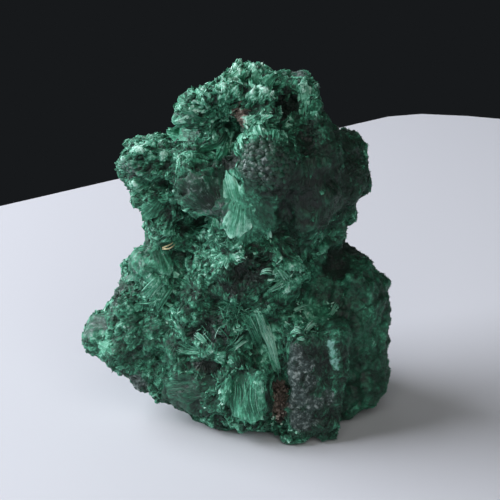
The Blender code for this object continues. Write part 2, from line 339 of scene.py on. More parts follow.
# Name: pixel, radius in millimetres, and what differs there. A later place lies over an earlier one.
PLACES = {
    # The right side, away from the window, is painted darker: painted shade.
    "right side": ((372, 300), 17, VELVET | {"pale": 0.33}),
    "right foot": ((370, 395), 11, VELVET | {"pale": 0.33}),
    "right knob": ((350, 170), 12, VELVET | {"pale": 0.15, "sheaves": 0.4, "crumb": 0.7}),
    "column": ((312, 200), 10, VELVET | {"pale": 0.15, "length": 0.6}),
    "crown": ((245, 88), 11, {"pale": 0.64, "sheaf": 1.15, "relief": 1.5}),
    "crown left": ((188, 108), 4.5, {"pale": 0.60, "crust": 0.10, "sheaf": 1.15, "relief": 1.5}),
    "crown top right": ((300, 72), 2.4, SMOOTH | {"pale": 0.36, "crust": 0.5}),
    "crown right fan": ((309, 92), 3.0, {"pale": 0.66, "sheaf": 1.3}),
    # Painted shade in the crown's recess.
    "crown recess": ((285, 106), 2.8, {"pale": 0.05}),
    "crown nucleus": ((239, 117), 1.9, GRAVEL | {"rust": 1.0, "cover": 0.1, "relief": 0.8, "pale": 0.56}),
    "knobs over the ball": ((264, 132), 3.4, {"pale": 0.62, "cover": 0.3, "relief": 0.5}),
    # Painted shade beside the ball and a painted shadow under it.
    "beside the ball": ((290, 178), 3.6, {"pale": 0.12}),
    "under the ball": ((270, 191), 2.4, {"pale": 0.12}),
    # Painted shade in the hollow beside the ball.
    "hollow beside the ball": ((229, 162), 2.2, {"pale": 0.0, "cover": 0.4, "sheaves": 0.4}),
    "dark ball": ((265, 168), 6.2, BOTRYOIDAL | {"pale": 0.10}),
    # Partly the dark coat, partly a painted highlight on the ball's side towards the window.
    "ball's grey side, coat and painted highlight": ((256, 168), 4.2, BOTRYOIDAL | {"crust": 0.36, "pale": 0.14}),
    "left knob": ((146, 160), 6.0, {"pale": 0.65, "sheaf": 1.1, "relief": 1.3}),
    "foot's left": ((150, 340), 9.0, WEATHERED | {"pale": 0.47, "crust": 0.15}),
    "left knob's edge": ((130, 170), 2.6, {"pale": 0.60, "crust": 0.35, "cover": 0.3}),
    "disc": ((203, 192), 5.2, SMOOTH | {"crust": 0.22, "pale": 0.21}),
    "under the disc": ((222, 214), 2.6, {"pale": 0.30, "crust": 0.4}),
    "pillar": ((250, 215), 6.0, SMOOTH | {"pale": 0.45, "lobes": 0.3, "cover": 0.5}),
    "pillar's top": ((231, 182), 2.6, SMOOTH | {"pale": 0.74, "relief": 0.9, "crumb": 0.6}),
    "waist": ((205, 250), 8.0, {"pale": 0.58}),
    # The notch and its foot are painted near black: painted shade.
    "notch": ((347, 245), 5.4, {"pale": 0.0, "cover": 0.5}),
    "notch's foot": ((334, 264), 3.6, {"pale": 0.05, "cover": 0.5}),
    "left shoulder": ((136, 266), 4.4, SMOOTH | {"pale": 0.50, "crust": 0.28}),
    "left shoulder's ridge": ((161, 262), 2.6, SMOOTH | {"pale": 0.56, "crust": 0.14}),
    "shoulder sprays": ((150, 288), 3.6, {"pale": 0.52, "crust": 0.14}),
    "shoulder's slope": ((116, 296), 4.0, {"pale": 0.36, "crust": 0.26, "crumb": 0.6, "relief": 0.8}),
    "wing tip": ((92, 326), 3.8, SMOOTH | {"pale": 0.38, "crust": 0.34}),
    "wing patch": ((103, 346), 2.2, {"pale": 0.66}),
    "wing toe": ((136, 378), 2.8, SMOOTH | {"pale": 0.15, "crust": 0.45}),
    "haystack": ((232, 308), 7.0, {"pale": 0.44, "sheaf": 1.2, "lean": 0.15, "relief": 0.8}),
    "open star": ((208, 332), 3.0, {"pale": 0.22, "sheaf": 1.3}),
    "star's hollow": ((212, 331), 1.5, GAP | {"cover": 0.3, "sheaves": 0.2}),
    "star's hollow's right": ((224, 334), 1.3, GAP | {"cover": 0.3, "sheaves": 0.2}),
    "bright specks": ((281, 282), 3.6, {"pale": 0.66}),
    "specks over the slab": ((314, 316), 3.4, {"pale": 0.72}),
    "dark middle": ((255, 268), 3.6, {"pale": 0.18}),
    "dark middle's left": ((234, 280), 3.4, {"pale": 0.22, "crust": 0.10}),
    "long fibres": ((266, 344), 4.0, {"pale": 0.60, "crumb": 0.3, "sheaf": 1.5, "lean": 0.1}),
    "brown patch": ((205, 370), 2.4, {"rust": 0.25, "pale": 0.2, "cover": 0.5}),
    "sole plate": ((185, 398), 5.4, SMOOTH | {"pale": 0.21, "cover": 0.4}),
    "bright block": ((246, 398), 5.0, SMOOTH | {"pale": 0.54}),
    "slot": ((269, 383), 1.5, GAP),
    "slot's middle": ((270, 396), 1.6, GAP),
    "slot's foot": ((271, 409), 1.5, GAP),
    "slab": ((316, 372), 7.6, SMOOTH | {"crust": 0.08, "pale": 0.22, "relief": 0.5, "crumb": 0.9}),
    "slab's foot": ((316, 415), 6.4, SMOOTH | {"crust": 0.10, "pale": 0.30, "relief": 0.5, "crumb": 1.0}),
    "slab's streak": ((308, 366), 1.5, SMOOTH | {"crust": 0.56, "pale": 0.2}),
    "slab's streak's middle": ((310, 384), 1.7, SMOOTH | {"crust": 0.50, "pale": 0.2}),
    "slab's streak's foot": ((314, 403), 1.8, SMOOTH | {"crust": 0.56, "pale": 0.2}),
    "slab's right streak": ((328, 396), 1.6, SMOOTH | {"crust": 0.46, "pale": 0.2}),
    "slab's upper edge": ((292, 352), 2.2, SMOOTH | {"crust": 0.90, "pale": 0.14}),
    "slab's middle edge": ((293, 374), 2.3, SMOOTH | {"crust": 0.92, "pale": 0.14}),
    "slab's lower edge": ((296, 397), 2.4, SMOOTH | {"crust": 0.84, "pale": 0.14}),
    "slab's grey foot": ((301, 421), 2.4, SMOOTH | {"crust": 0.72, "pale": 0.18}),
    "blue film": ((331, 344), 1.0, FILM),
    "blue film's middle": ((333, 352), 1.1, FILM),
    "blue film's lower part": ((335, 361), 1.0, FILM),
    "blue film's tip": ((337, 369), 0.7, FILM),
    "rusty crust": ((284, 406), 2.8, GRAVEL | {"rust": 0.9}),
    "rusty crust's top": ((281, 388), 1.9, GRAVEL | {"rust": 0.8}),
}
BRUSH_EDGE = 0.45
BRUSH_RAG = 0.35
RAG_SIZE = 1.8 * MM


def away_from(place):
    """How far each point of the skin is from a place."""
    return np.linalg.norm(skin - place, axis=1)


rag = noise(skin / RAG_SIZE, sheet=1)
traits = {name: np.full(len(skin), value) for name, value in USUAL.items()}
for pixel, radius, differences in PLACES.values():
    away = away_from(on_stone(*pixel)) / (radius * MM)
    share = eased((1 + BRUSH_EDGE - away * (1 + BRUSH_RAG * rag)) / (2 * BRUSH_EDGE))
    for name, value in differences.items():
        traits[name] += share * (value - traits[name])
print("places painted:", len(PLACES))

# %% [markdown]
# Between the named places the stone still varies. Slow noise makes some patches paler and leaves
# thin spots of crust, so the sides and the back aren't one even green.

# %% Slow variation
# Size in millimetres of the patches, and what they add to the paleness.
PATCHES = ((7.0, 0.14), (2.8, 0.12))
SPOT_SIZE = 4.5 * MM
SPOT_FROM = 0.55
SPOT_EDGE = 0.25
SPOT_CRUST = 0.16

for size, paler in PATCHES:
    traits["pale"] += paler * noise(skin / MM / size, sheet=2)
spots = eased((noise(skin / SPOT_SIZE, sheet=3) - SPOT_FROM) / SPOT_EDGE)
traits["crust"] = np.maximum(traits["crust"], SPOT_CRUST * spots)

# %% [markdown]
# ## Where the fibres come from
# Each fibre points away from a nucleus. On the broken front the nuclei lie just under the face, so
# the fibres run along it and show their length. Elsewhere they lie deeper, the fibres come out
# nearly upright, and only their tips show, like velvet. A few fans that stand out have a nucleus
# of their own, given as a step from the fan's middle.

# %% Nuclei
# Name: pixel of the fan's middle, radius in millimetres, step to the nucleus in millimetres.
FANS = {
    "crown": ((246, 92), 11.0, (-3.6, 1.5, -6.6)),
    "crown right": ((309, 92), 4.6, (-2.0, 0.5, -5.6)),
    "crown left": ((188, 108), 5.4, (6.2, 1.0, -2.6)),
    "left knob": ((146, 162), 8.0, (5.4, 2.4, -0.8)),
    "left knuckle": ((152, 208), 5.0, (5.0, 1.5, 1.4)),
    "dark ball": ((265, 165), 7.0, (0.4, 6.0, 0.0)),
    "disc": ((203, 193), 5.6, (4.0, 0.6, -4.0)),
    "pillar": ((250, 218), 7.0, (-1.6, 0.5, 9.0)),
    "column": ((318, 200), 9.0, (-1.0, 4.0, 22.0)),
    "left shoulder": ((130, 262), 5.0, (6.0, 2.0, 4.0)),
    "shoulder sprays": ((151, 290), 4.4, (1.6, 1.0, 7.0)),
    "wing": ((104, 330), 8.0, (9.0, 2.0, 2.4)),
    "haystack": ((232, 304), 6.4, (0.0, 1.2, -2.0)),
    "open star": ((208, 332), 4.6, (0.0, 0.6, 0.6)),
    "waist star": ((228, 262), 5.0, (0.0, 0.8, 2.0)),
    "long fibres": ((266, 344), 5.0, (-6.0, 0.0, 12.0)),
    "sole plate": ((185, 398), 6.6, (9.0, 1.0, 5.0)),
    "bright block": ((246, 398), 6.0, (1.0, 0.0, 26.0)),
    "slab": ((314, 385), 12.0, (-2.0, 0.5, 60.0)),
}

# How ragged the border of a fan is.
FAN_RAG = 0.2
SCATTERED = 320
SHALLOW = (0.5 * MM, 2.2 * MM)
DEEP = (2.5 * MM, 5.5 * MM)
UPRIGHT_LIFT = 20.0
SAME_TIME = 4000

nucleus_rng = np.random.default_rng(23)
picked = nucleus_rng.integers(0, len(skin), SCATTERED)
deep_here = traits["lift"][picked] > UPRIGHT_LIFT
depths = np.where(deep_here, nucleus_rng.uniform(*DEEP, SCATTERED), nucleus_rng.uniform(*SHALLOW, SCATTERED))
scattered = skin[picked] - skin_normals[picked] * depths[:, None]


def nearest_two(points, centres):
    """For each point: the number of the nearest centre, and how much farther the second one is."""
    number = np.empty(len(points), np.int64)
    gap = np.empty(len(points))
    size = dot(centres, centres)
    for start in range(0, len(points), SAME_TIME):
        now = slice(start, start + SAME_TIME)
        square = dot(points[now], points[now])[:, None] - 2 * points[now] @ centres.T + size
        two = np.sqrt(np.maximum(np.partition(square, 1, axis=1)[:, :2], 0))
        number[now] = square.argmin(axis=1)
        gap[now] = two[:, 1] - two[:, 0]
    return number, gap


family, gap = nearest_two(skin, scattered)
nuclei = scattered[family]
closest = np.ones(len(skin))
for number, (pixel, radius, step) in enumerate(FANS.values()):
    middle = on_stone(*pixel)
    away = away_from(middle) / (radius * MM) * (1 + FAN_RAG * rag)
    mine = away < closest
    closest[mine] = away[mine]
    nuclei[mine] = middle + np.array(step) * MM
    family[mine] = SCATTERED + number
    gap[mine] = (1 - away[mine]) * radius * MM
reach = away_from(nuclei)
outward = unit(skin - nuclei)
print("fans:", len(FANS), "and scattered nuclei:", SCATTERED)

# %% [markdown]
# ## Bundles
# Fibres hang together in bundles, which break off at different lengths. In the space of directions
# from the nucleus, scaled to millimetres, a bundle is a cell. The distance from the nucleus is
# counted more slowly than the directions, which stretches the cells along the fibres. A bundle
# rises towards its broken end like a shingle, and there is a groove between it and the next. The
# grooves are painted darker in the tone, which is painted shade.

# %% Relief of the skin
LEAST_REACH = 3 * MM
WAVE_SIZE = 3 * MM
WAVE = 0.06
FAMILY_STEP = 5.1
# Width and length of a bundle, its height, its rise to the broken end, and its groove, in millimetres.
BUNDLES = (
    (2.3, 3.6, 0.34, 0.50, 0.30),
    (1.05, 1.9, 0.16, 0.26, 0.16),
)
# The same without a direction, for crumbs: size, height and groove, in millimetres.
CRUMB = (0.95, 0.16, 0.16)
GROOVE_EDGE = 0.10
STRAND_SPACING = 0.62
STRAND_HEIGHT = 0.06
FAMILY_GROOVE = 0.7
FAMILY_GROOVE_WIDTH = 0.45 * MM
# Size and height of the lumps, the lobes and the knobs, in millimetres.
LUMPS = ((3.8, 0.42), (1.9, 0.20))
LOBES = ((4.4, 0.34), (1.5, 0.10))
KNOBS = ((1.7, 0.36), (0.8, 0.17))
# How much coat goes on the tops of the knobs: partly the coat, partly a painted highlight.
COAT_AND_HIGHLIGHT_ON_TOPS = 1.5
FLAT_FOOT = 2.0 * MM
# What chance, the rise, a groove and a lobe add to the tone. A groove's darkening is painted shade.
TONE_CHANCE = 0.10
TONE_RISE = 0.20
GROOVE_SHADE_TONE = 0.15
TONE_LOBE = 0.03

mean_reach = np.bincount(family, reach) / np.maximum(np.bincount(family), 1)
steady_reach = np.maximum(mean_reach, LEAST_REACH)[family]
wave = np.stack([noise(skin / WAVE_SIZE, sheet=4 + axis) for axis in range(3)], axis=1)
direction = unit(outward + WAVE * wave)
across = direction * (steady_reach / MM)[:, None]
family_shift = (family * FAMILY_STEP)[:, None]


def bundles(width, length, sheet):
    """Cells in direction x (R / width + (r - R) / length): the number, the place along, and the border."""
    count = steady_reach / MM / width + (reach - steady_reach) / MM / length
    number, inside, border = cells(direction * count[:, None] + family_shift, sheet)
    return number, dot(inside, direction), border


def domes(size, sheet):
    """Round tops with creases between them, 2 sqrt(border) - 1 in cells of a size in millimetres."""
    return 2 * np.sqrt(np.clip(cells(skin / MM / size, sheet)[2], 0, 1)) - 1


height = np.zeros(len(skin))
tone = np.zeros(len(skin))
for sheet, (width, length, tall, rise, groove) in enumerate(BUNDLES):
    number, along, border = bundles(width, length, sheet)
    valley = np.exp(-border / GROOVE_EDGE)
    height += tall * CHANCE[0][number] + rise * along - groove * valley
    # Painted shade: the tone is darkened in the grooves between bundles.
    tone += TONE_CHANCE * CHANCE[1][number] + TONE_RISE * along - GROOVE_SHADE_TONE * valley
height += STRAND_HEIGHT * (1 - 2 * np.abs(noise(across / STRAND_SPACING, sheet=7)))
size, tall, groove = CRUMB
number, _, border = cells(skin / MM / size, sheet=3)
valley = np.exp(-border / GROOVE_EDGE)
height += traits["crumb"] * (tall * CHANCE[0][number] - groove * valley)
# Painted shade: crumbs are darkened along their grooves.
tone += traits["crumb"] * (TONE_CHANCE * CHANCE[1][number] - GROOVE_SHADE_TONE * valley)
height -= FAMILY_GROOVE * np.exp(-gap / FAMILY_GROOVE_WIDTH)
height *= traits["relief"]
tone = traits["pale"] + tone * traits["relief"]
for size, tall in LUMPS:
    height += tall * noise(skin / MM / size, sheet=8)
for size, tall in LOBES:
    dome = domes(size, sheet=10)
    height += traits["lobes"] * tall * dome
    tone += traits["lobes"] * TONE_LOBE * dome
knob = sum(tall * domes(size, sheet=9) for size, tall in KNOBS)
height += traits["knobs"] * knob
# Partly the dark coat, partly a painted highlight: the coat's pale grey goes on the tops of the knobs.
traits["crust"] += COAT_AND_HIGHLIGHT_ON_TOPS * traits["crust"] * traits["knobs"] * knob
height *= eased(skin[:, 2] / FLAT_FOOT) * MM
carved = skin + skin_normals * height[:, None]
carved[:, 2] = np.maximum(carved[:, 2], 0)
normals = normals_of(carved, faces)
print("relief, mm:", height.min() / MM, "to", height.max() / MM)

# %% [markdown]
# Light hardly reaches the bottom of a hollow, so hollows are painted darker: this darkening is
# painted shade. A point's hollow is how far it lies below the smoothed form.

# %% Painted shade in hollows
HOLLOW_ROUNDS = 40
HOLLOW_FULL = 0.8 * MM
HOLLOW_SHADE_TONE = 0.22

calm = melted(carved, faces, HOLLOW_ROUNDS)
calm_normals = normals_of(calm, faces)
hollow = np.clip(dot(calm - carved, normals) / HOLLOW_FULL, -1, 1)
# Painted shade: the tone is darkened by how deep a point lies in its hollow.
tone -= HOLLOW_SHADE_TONE * hollow

# %% [markdown]
# ## The stone's own piece
# The relief is carved in more triangles than a piece may have. Decimation keeps them where the
# form bends and takes them where it is flat. The properties that the finish needs go along as
# attributes, and Blender carries them over to the thinned mesh.

# %% Stone piece
STONE_TRIANGLES = 198000
TRAITS_SHOWN = ("crust", "rust", "blue", "crumb")


def give(mesh, name, values):
    """Stores one number, or three, for each point of a mesh."""
    kind, key = ("FLOAT", "value") if values.ndim == 1 else ("FLOAT_VECTOR", "vector")
    attribute = mesh.attributes.new(name, kind, "POINT")
    attribute.data.foreach_set(key, np.ascontiguousarray(values, np.float32).ravel())


def add_piece(name, mesh):
    """A new object at the origin, riding on the stone's body."""
    piece = loose_object(name, mesh)
    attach(piece, "root")
    return piece


carved_mesh = mesh_from("carved stone", carved, faces)
give(carved_mesh, "grain", across + family_shift)
give(carved_mesh, "tone", tone)
for trait in TRAITS_SHOWN:
    give(carved_mesh, trait, traits[trait])
dense = loose_object("dense stone", carved_mesh)
dense.modifiers.new("thin out", "DECIMATE").ratio = STONE_TRIANGLES / len(faces)
stone_mesh = evaluated(dense)
stone_mesh.shade_smooth()
stone = add_piece("stone", stone_mesh)
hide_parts("malachite")
print("triangles of the stone:", len(stone_mesh.polygons))

# %% [markdown]
# ## Strands
# A fibre is a thin three-sided strand that runs through a few points, with a ring around each and
# a pointed end. With three points it is only ten triangles, so tens of thousands are affordable.

# %% Strand geometry
SIDES = 3
RING_TURNS = np.arange(SIDES) * math.tau / SIDES
FLATNESS = 0.7


def walls_of(ring, rows):
    """Triangles between the rings of a tube, which has so many points in a ring and so many rings."""
    corner = np.arange(ring)
    after = (corner + 1) % ring
    low = ring * np.arange(rows - 1)[:, None]
    return np.concatenate([
        np.stack([low + corner, low + after, low + ring + after], axis=-1),
        np.stack([low + corner, low + ring + after, low + ring + corner], axis=-1),
    ]).reshape(-1, 3)


def copies(one, count, size):
    """The triangles of one thing, repeated for a count of things with so many points each."""
    first = np.arange(count) * size
    return (first[:, None, None] + one).reshape(-1, 3)


def strands(paths, ups, widths, taper):
    """Points and triangles of strands: rings p + w (cos t side + sin t up) around the path, then a tip."""
    count, steps = paths.shape[:2]
    axis = unit(paths[:, -1] - paths[:, 0])
    side = unit(np.cross(ups, axis))
    top = np.cross(axis, side)
    ring = (
        np.cos(RING_TURNS)[:, None] * side[:, None]
        + FLATNESS * np.sin(RING_TURNS)[:, None] * top[:, None]
    )
    half = widths[:, None] / 2 * np.asarray(taper)
    rings = paths[:, :-1, None] + half[..., None, None] * ring[:, None]
    points = np.concatenate([rings.reshape(count, -1, 3), paths[:, -1:]], axis=1)
    tip = SIDES * (steps - 2) + np.array([[0, 1, 3], [1, 2, 3], [2, 0, 3]])
    one = np.concatenate([[[2, 1, 0]], walls_of(SIDES, steps - 1), tip])
    return points.reshape(-1, 3), copies(one, count, points.shape[1])


def bunch(paths, ups, widths, taper, tones, under):
    """Strands, with a tone and a point of the skin for each, given for each of their points."""
    points, triangles = strands(paths, ups, widths, taper)
    each = len(points) // len(paths)
    return points, triangles, np.repeat(tones, each), np.repeat(under, each)


# %% [markdown]
# A fibre that lies in the face follows it over every bump. To lay one, we walk over the skin from
# point to neighbouring point, each time to the one that leads best in the fibre's direction, and
# note where we are after each share of its length.

# %% Walks over the skin
STRAYING = 0.6
SPARE_STEPS = 2


def neighbours_of(faces, count):
    """For each point the numbers of its neighbours, filled up with its own number."""
    start, end = edges_of(faces)
    order = np.argsort(start, kind="stable")
    start, end = start[order], end[order]
    place = np.arange(len(start)) - np.searchsorted(start, start)
    table = np.repeat(np.arange(count)[:, None], place.max() + 1, axis=1)
    table[start, place] = end
    return table


neighbours = neighbours_of(faces, len(skin))
print("most neighbours of a point:", neighbours.shape[1])


def walk(start, ways, lengths, stops):
    """Numbers of the skin points on the way, from the start, after each share of the length."""
    side = np.cross(normals[start], ways)
    here = start
    passed = [start]
    for number in range(1, stops):
        goal = lengths * number / (stops - 1)
        for _ in range(int(np.ceil(goal.max() / stops / SKIN_GRID)) + SPARE_STEPS):
            options = neighbours[here]
            from_start = carved[options] - carved[start][:, None]
            gain = dot(from_start, ways[:, None]) - STRAYING * np.abs(dot(from_start, side[:, None]))
            best = np.take_along_axis(options, gain.argmax(axis=1)[:, None], axis=1)[:, 0]
            going = dot(carved[here] - carved[start], ways) < goal
            here = np.where(going, best, here)
        passed.append(here)
    return np.stack(passed, axis=1)


# %% [markdown]
# ## Sheaves
# What the eye sees first on broken malachite are sheaves: bundles that spread from a narrow root to
# a broad end, pleated along their fibres, with a pale rim where they are broken. Each is a closed
# plate: its rows are rings of points, from edge to edge over the pleats and back through a keel
# under the middle.

# %% Sheaf geometry
FULL_RISE = 1.25
ROOT_SUNK = 0.45
EDGE_DROP = 0.45
KEEL = 1.1


def column_chance(rng, count, columns, soft_rounds):
    """A random number for each column of each sheaf. Each round blends it with its neighbours'."""
    chance = rng.normal(size=(count, 1, columns))
    for _ in range(soft_rounds):
        wide = np.pad(chance, ((0, 0), (0, 0), (1, 1)), "edge")
        chance = (wide[..., :-2] + 2 * chance + wide[..., 2:]) / 4
    return chance


def sheaves(root, end, up, half_widths, thick, style, rng, ground=None):
    """Rings of points (sheaf, row, point), and the triangles of one sheaf.

    Across runs from -1 to 1 and along from 0 to 1. A point lies at along times the length, at
    across times the half width there, and at a height of thick (1.25 sqrt(along) - 0.45), less
    towards the edges. Chance gives each column its own height and reach: pleats and a ragged end.
    """
    columns, rows, soft_rounds, rounded, ragged, pleated = style
    count = len(root)
    across = np.linspace(-1, 1, columns)
    along = np.linspace(0, 1, rows)[:, None]
    forward = unit(end - root)
    side = unit(np.cross(forward, up))
    out = np.cross(side, forward)
    length, tall = (values[:, None, None] for values in (np.linalg.norm(end - root, axis=1), thick))
    half = half_widths[:, :1, None] + (half_widths[:, 1:] - half_widths[:, :1])[:, :, None] * along
    reach = along * (1 - rounded * across**2 + ragged * column_chance(rng, count, columns, soft_rounds))
    pleats = 1 - EDGE_DROP * across**2 + pleated * column_chance(rng, count, columns, soft_rounds)
    rise = tall * (FULL_RISE * np.sqrt(along) * pleats - ROOT_SUNK)
    keel_rise = tall * (FULL_RISE * np.sqrt(along) - ROOT_SUNK - KEEL)
    steps = length * np.concatenate([reach, np.broadcast_to(along, (count, rows, 1))], axis=2)
    sides = np.concatenate([half * across, np.zeros((count, rows, 1))], axis=2)
    base = root[:, None, None] + steps[..., None] * forward[:, None, None]
    base = base + sides[..., None] * side[:, None, None]
    if ground is not None:
        base = ground(base, out)
    rises = np.concatenate([rise, keel_rise], axis=2)
    rings = base + rises[..., None] * out[:, None, None]
    ring = columns + 1
    column = np.arange(columns - 1)
    keel = np.full(columns - 1, columns)
    root_cap = np.stack([keel, column + 1, column], axis=-1)
    end_cap = ring * (rows - 1) + np.stack([keel, column, column + 1], axis=-1)
    return rings, np.concatenate([root_cap, walls_of(ring, rows), end_cap])


# %% [markdown]
# The finish needs to know where on its sheaf a point is: streaks run from the root to the end, the
# root and the keel under the middle are painted darker as painted shade, and the rims are paler,
# partly the pale of broken fibres and partly a painted highlight.

# %% Sheaf pieces
# Tones by place on a sheaf: painted shade at the root and the keel, and a rim that is partly a painted
# highlight.
ROOT_SHADE_TONE = -0.06
RIM_PALE_AND_HIGHLIGHT_TONE = 0.15
EDGE_TONE = 0.04
KEEL_SHADE_TONE = -0.10
MOTTLE = 0.10
MOTTLE_SIZE = 1.4 * MM
GRAIN_ACROSS = 1.8
GRAIN_ALONG = 0.15
GRAIN_STEP = 7.3
CREASE = math.radians(55)


def sheaf_mesh(name, rings, one, half_widths, tones, masks):
    """A mesh of sheaves, with grain (across, along, its own number), tone and masks for each point."""
    count, rows, ring = rings.shape[:3]
    mesh = mesh_from(name, rings.reshape(-1, 3), copies(one, count, rows * ring))
    across = np.append(np.linspace(-1, 1, ring - 1), 0)
    along = np.linspace(0, 1, rows)[:, None]
    shape = (count, rows, ring)
    run = np.linalg.norm(rings - rings[:, :1], axis=-1) / MM
    grain = np.stack([
        np.broadcast_to(GRAIN_ACROSS * across * half_widths[:, 1, None, None] / MM, shape),
        GRAIN_ALONG * run,
        np.broadcast_to(GRAIN_STEP * np.arange(count)[:, None, None], shape),
    ], axis=-1)
    # Painted shade at the root and the keel; the paler rim is partly a painted highlight.
    shade = ROOT_SHADE_TONE + (RIM_PALE_AND_HIGHLIGHT_TONE - ROOT_SHADE_TONE) * along**2 + EDGE_TONE * across**2
    shade = np.where(np.arange(ring) == ring - 1, KEEL_SHADE_TONE, shade)
    give(mesh, "grain", grain.reshape(-1, 3))
    mottle = MOTTLE * noise(rings.reshape(-1, 3) / MOTTLE_SIZE, sheet=12)
    give(mesh, "tone", (tones[:, None, None] + shade).ravel() + mottle)
    for trait in TRAITS_SHOWN:
        give(mesh, trait, np.repeat(masks[trait], rows * ring))
    mesh.shade_smooth()
    mesh.set_sharp_from_angle(angle=CREASE)
    return mesh


# %% [markdown]
# ## Plates that stand out
# The largest sheaves and plates have names. Each is given by the pixels of its root and its end, and
# follows the calm form of the stone between them, like a shingle on a roof.

# %% Large plates
# Name: pixels of the root and the end; half widths there, thickness, in millimetres; how rounded the
# end is; tone and crust.
PLATES = {
    "crown, lowest fin": ((196, 136), (170, 131), 1.2, 2.2, 0.7, 0.4, 0.52, 0.1),
    "crown, second fin": ((202, 130), (173, 115), 1.5, 3.1, 0.9, 0.4, 0.41, 0.26),
    "crown, third fin": ((207, 120), (181, 100), 1.4, 2.9, 1.0, 0.4, 0.44, 0.20),
    "crown, fourth fin": ((210, 112), (190, 90), 1.3, 2.4, 1.0, 0.4, 0.49, 0.10),
    "crown, fifth fin": ((213, 105), (202, 88), 0.8, 1.3, 0.7, 0.3, 0.50, 0),
    "rim, left": ((222, 103), (214, 81), 0.8, 1.7, 1.0, 0.3, 0.52, 0),
    "rim, second": ((232, 100), (228, 75), 0.8, 1.7, 1.0, 0.3, 0.54, 0),
    "rim, top": ((243, 97), (242, 72), 0.8, 1.7, 0.8, 0.3, 0.52, 0),
    "rim, fourth": ((255, 97), (257, 72), 0.8, 1.7, 0.9, 0.3, 0.50, 0),
    "rim, fifth": ((265, 95), (271, 76), 0.8, 1.6, 1.0, 0.3, 0.46, 0),
    "right fan": ((304, 114), (304, 83), 0.9, 1.5, 1.0, 0.2, 0.70, 0),
    "right fan's side": ((314, 116), (317, 92), 0.9, 1.4, 0.7, 0.3, 0.52, 0),
    "dark wedge": ((285, 99), (294, 80), 0.6, 1.3, 0.7, 0.2, 0.40, 0.2),
    "blade, left": ((228, 126), (205, 151), 0.3, 1.3, 0.9, 0.4, 0.32, 0),
    "blade, second": ((230, 127), (218, 159), 0.3, 1.3, 0.9, 0.4, 0.44, 0),
    "blade, third": ((237, 128), (234, 152), 0.4, 1.3, 0.9, 0.3, 0.54, 0),
    "blade, right": ((243, 128), (245, 148), 0.6, 1.3, 1.0, 0.3, 0.64, 0),
    "mint knob": ((264, 144), (257, 127), 1.0, 1.6, 0.8, 0.5, 0.58, 0.2),
    "mint knob's side": ((272, 146), (275, 130), 1.0, 1.6, 0.8, 0.4, 0.50, 0.1),
    "pillar's top": ((236, 206), (229, 173), 1.5, 2.1, 1.0, 0.6, 0.66, 0),
    "flare": ((240, 200), (234, 236), 1.2, 3.2, 0.8, 0.3, 0.66, 0),
    "leaf": ((228, 209), (205, 227), 0.7, 1.5, 0.8, 0.4, 0.52, 0),
    "disc": ((218, 209), (195, 180), 1.4, 4.2, 0.9, 0.5, 0.17, 0.22),
    "left knuckle": ((162, 198), (143, 219), 0.7, 2.0, 0.8, 0.4, 0.46, 0),
    "left shoulder": ((151, 250), (127, 279), 1.6, 2.8, 0.6, 0.4, 0.46, 0.32),
    "shoulder's ridge": ((158, 250), (164, 274), 1.2, 1.9, 0.8, 0.5, 0.48, 0.20),
    "wing tip": ((110, 318), (88, 324), 1.8, 2.4, 0.5, 0.3, 0.31, 0.30),
    "wing's patch": ((112, 352), (99, 345), 0.9, 1.4, 0.6, 0.3, 0.58, 0.1),
    "long fibres": ((256, 310), (267, 338), 0.9, 1.5, 0.5, 0.3, 0.50, 0),
    "long fibres' end": ((266, 330), (279, 372), 1.2, 0.8, 0.7, 0.2, 0.57, 0),
    "sole": ((214, 384), (166, 393), 2.0, 2.6, 0.5, 0.3, 0.24, 0),
    "block": ((245, 374), (245, 420), 3.1, 3.4, 1.4, 0.0, 0.45, 0),
}
# Columns and rows of a plate, soft rounds, ragged end and pleats.
PLATE_GRID = (29, 13, 2)
PLATE_RAGS = (0.06, 0.20)
PLATE_BUMPS = ((1.7, 0.16), (0.7, 0.12))
PLATE_CRUMB = 0.5
SETTLE_ROUNDS = 2


def tree_of(points):
    """A search tree over the rows of an array."""
    tree = KDTree(len(points))
    for number, point in enumerate(points):
        tree.insert(point, number)
    tree.balance()
    return tree


def nearest(points, tree):
    """For each point the number of the nearest one in the tree."""
    return np.array([tree.find(point)[1] for point in points])


calm_tree = tree_of(calm)


def settled(places, out):
    """Places moved along their sheaf's way out until they are level with the calm skin, and roughened."""
    shape = places.shape
    ways = np.broadcast_to(out[:, None, None], shape).reshape(-1, 3)
    places = places.reshape(-1, 3)
    for _ in range(SETTLE_ROUNDS):
        under = calm[nearest(places, calm_tree)]
        places = places + dot(under - places, ways)[:, None] * ways
    bumps = MM * sum(tall * noise(places / MM / size, sheet=13) for size, tall in PLATE_BUMPS)
    return (places + bumps[:, None] * ways).reshape(shape)


plate_rng = np.random.default_rng(31)
plate_roots, plate_ends = (np.array([on_stone(*row[end]) for row in PLATES.values()]) for end in (0, 1))
plate_sizes = np.array([row[2:] for row in PLATES.values()])
under_middle = nearest((plate_roots + plate_ends) / 2, calm_tree)
plate_rings, plate_faces = sheaves(
    plate_roots, plate_ends, calm_normals[under_middle], plate_sizes[:, :2] * MM, plate_sizes[:, 2] * MM,
    (*PLATE_GRID, plate_sizes[:, 3, None, None], *PLATE_RAGS), plate_rng, settled,
)
no_mask = np.zeros(len(PLATES))
plate_masks = {"crust": plate_sizes[:, 5], "rust": no_mask, "blue": no_mask, "crumb": no_mask + PLATE_CRUMB}
plates = add_piece("plates", sheaf_mesh(
    "plates", plate_rings, plate_faces, plate_sizes[:, :2] * MM, plate_sizes[:, 4], plate_masks,
))
print("plates:", len(PLATES), "triangles:", len(plates.data.polygons))

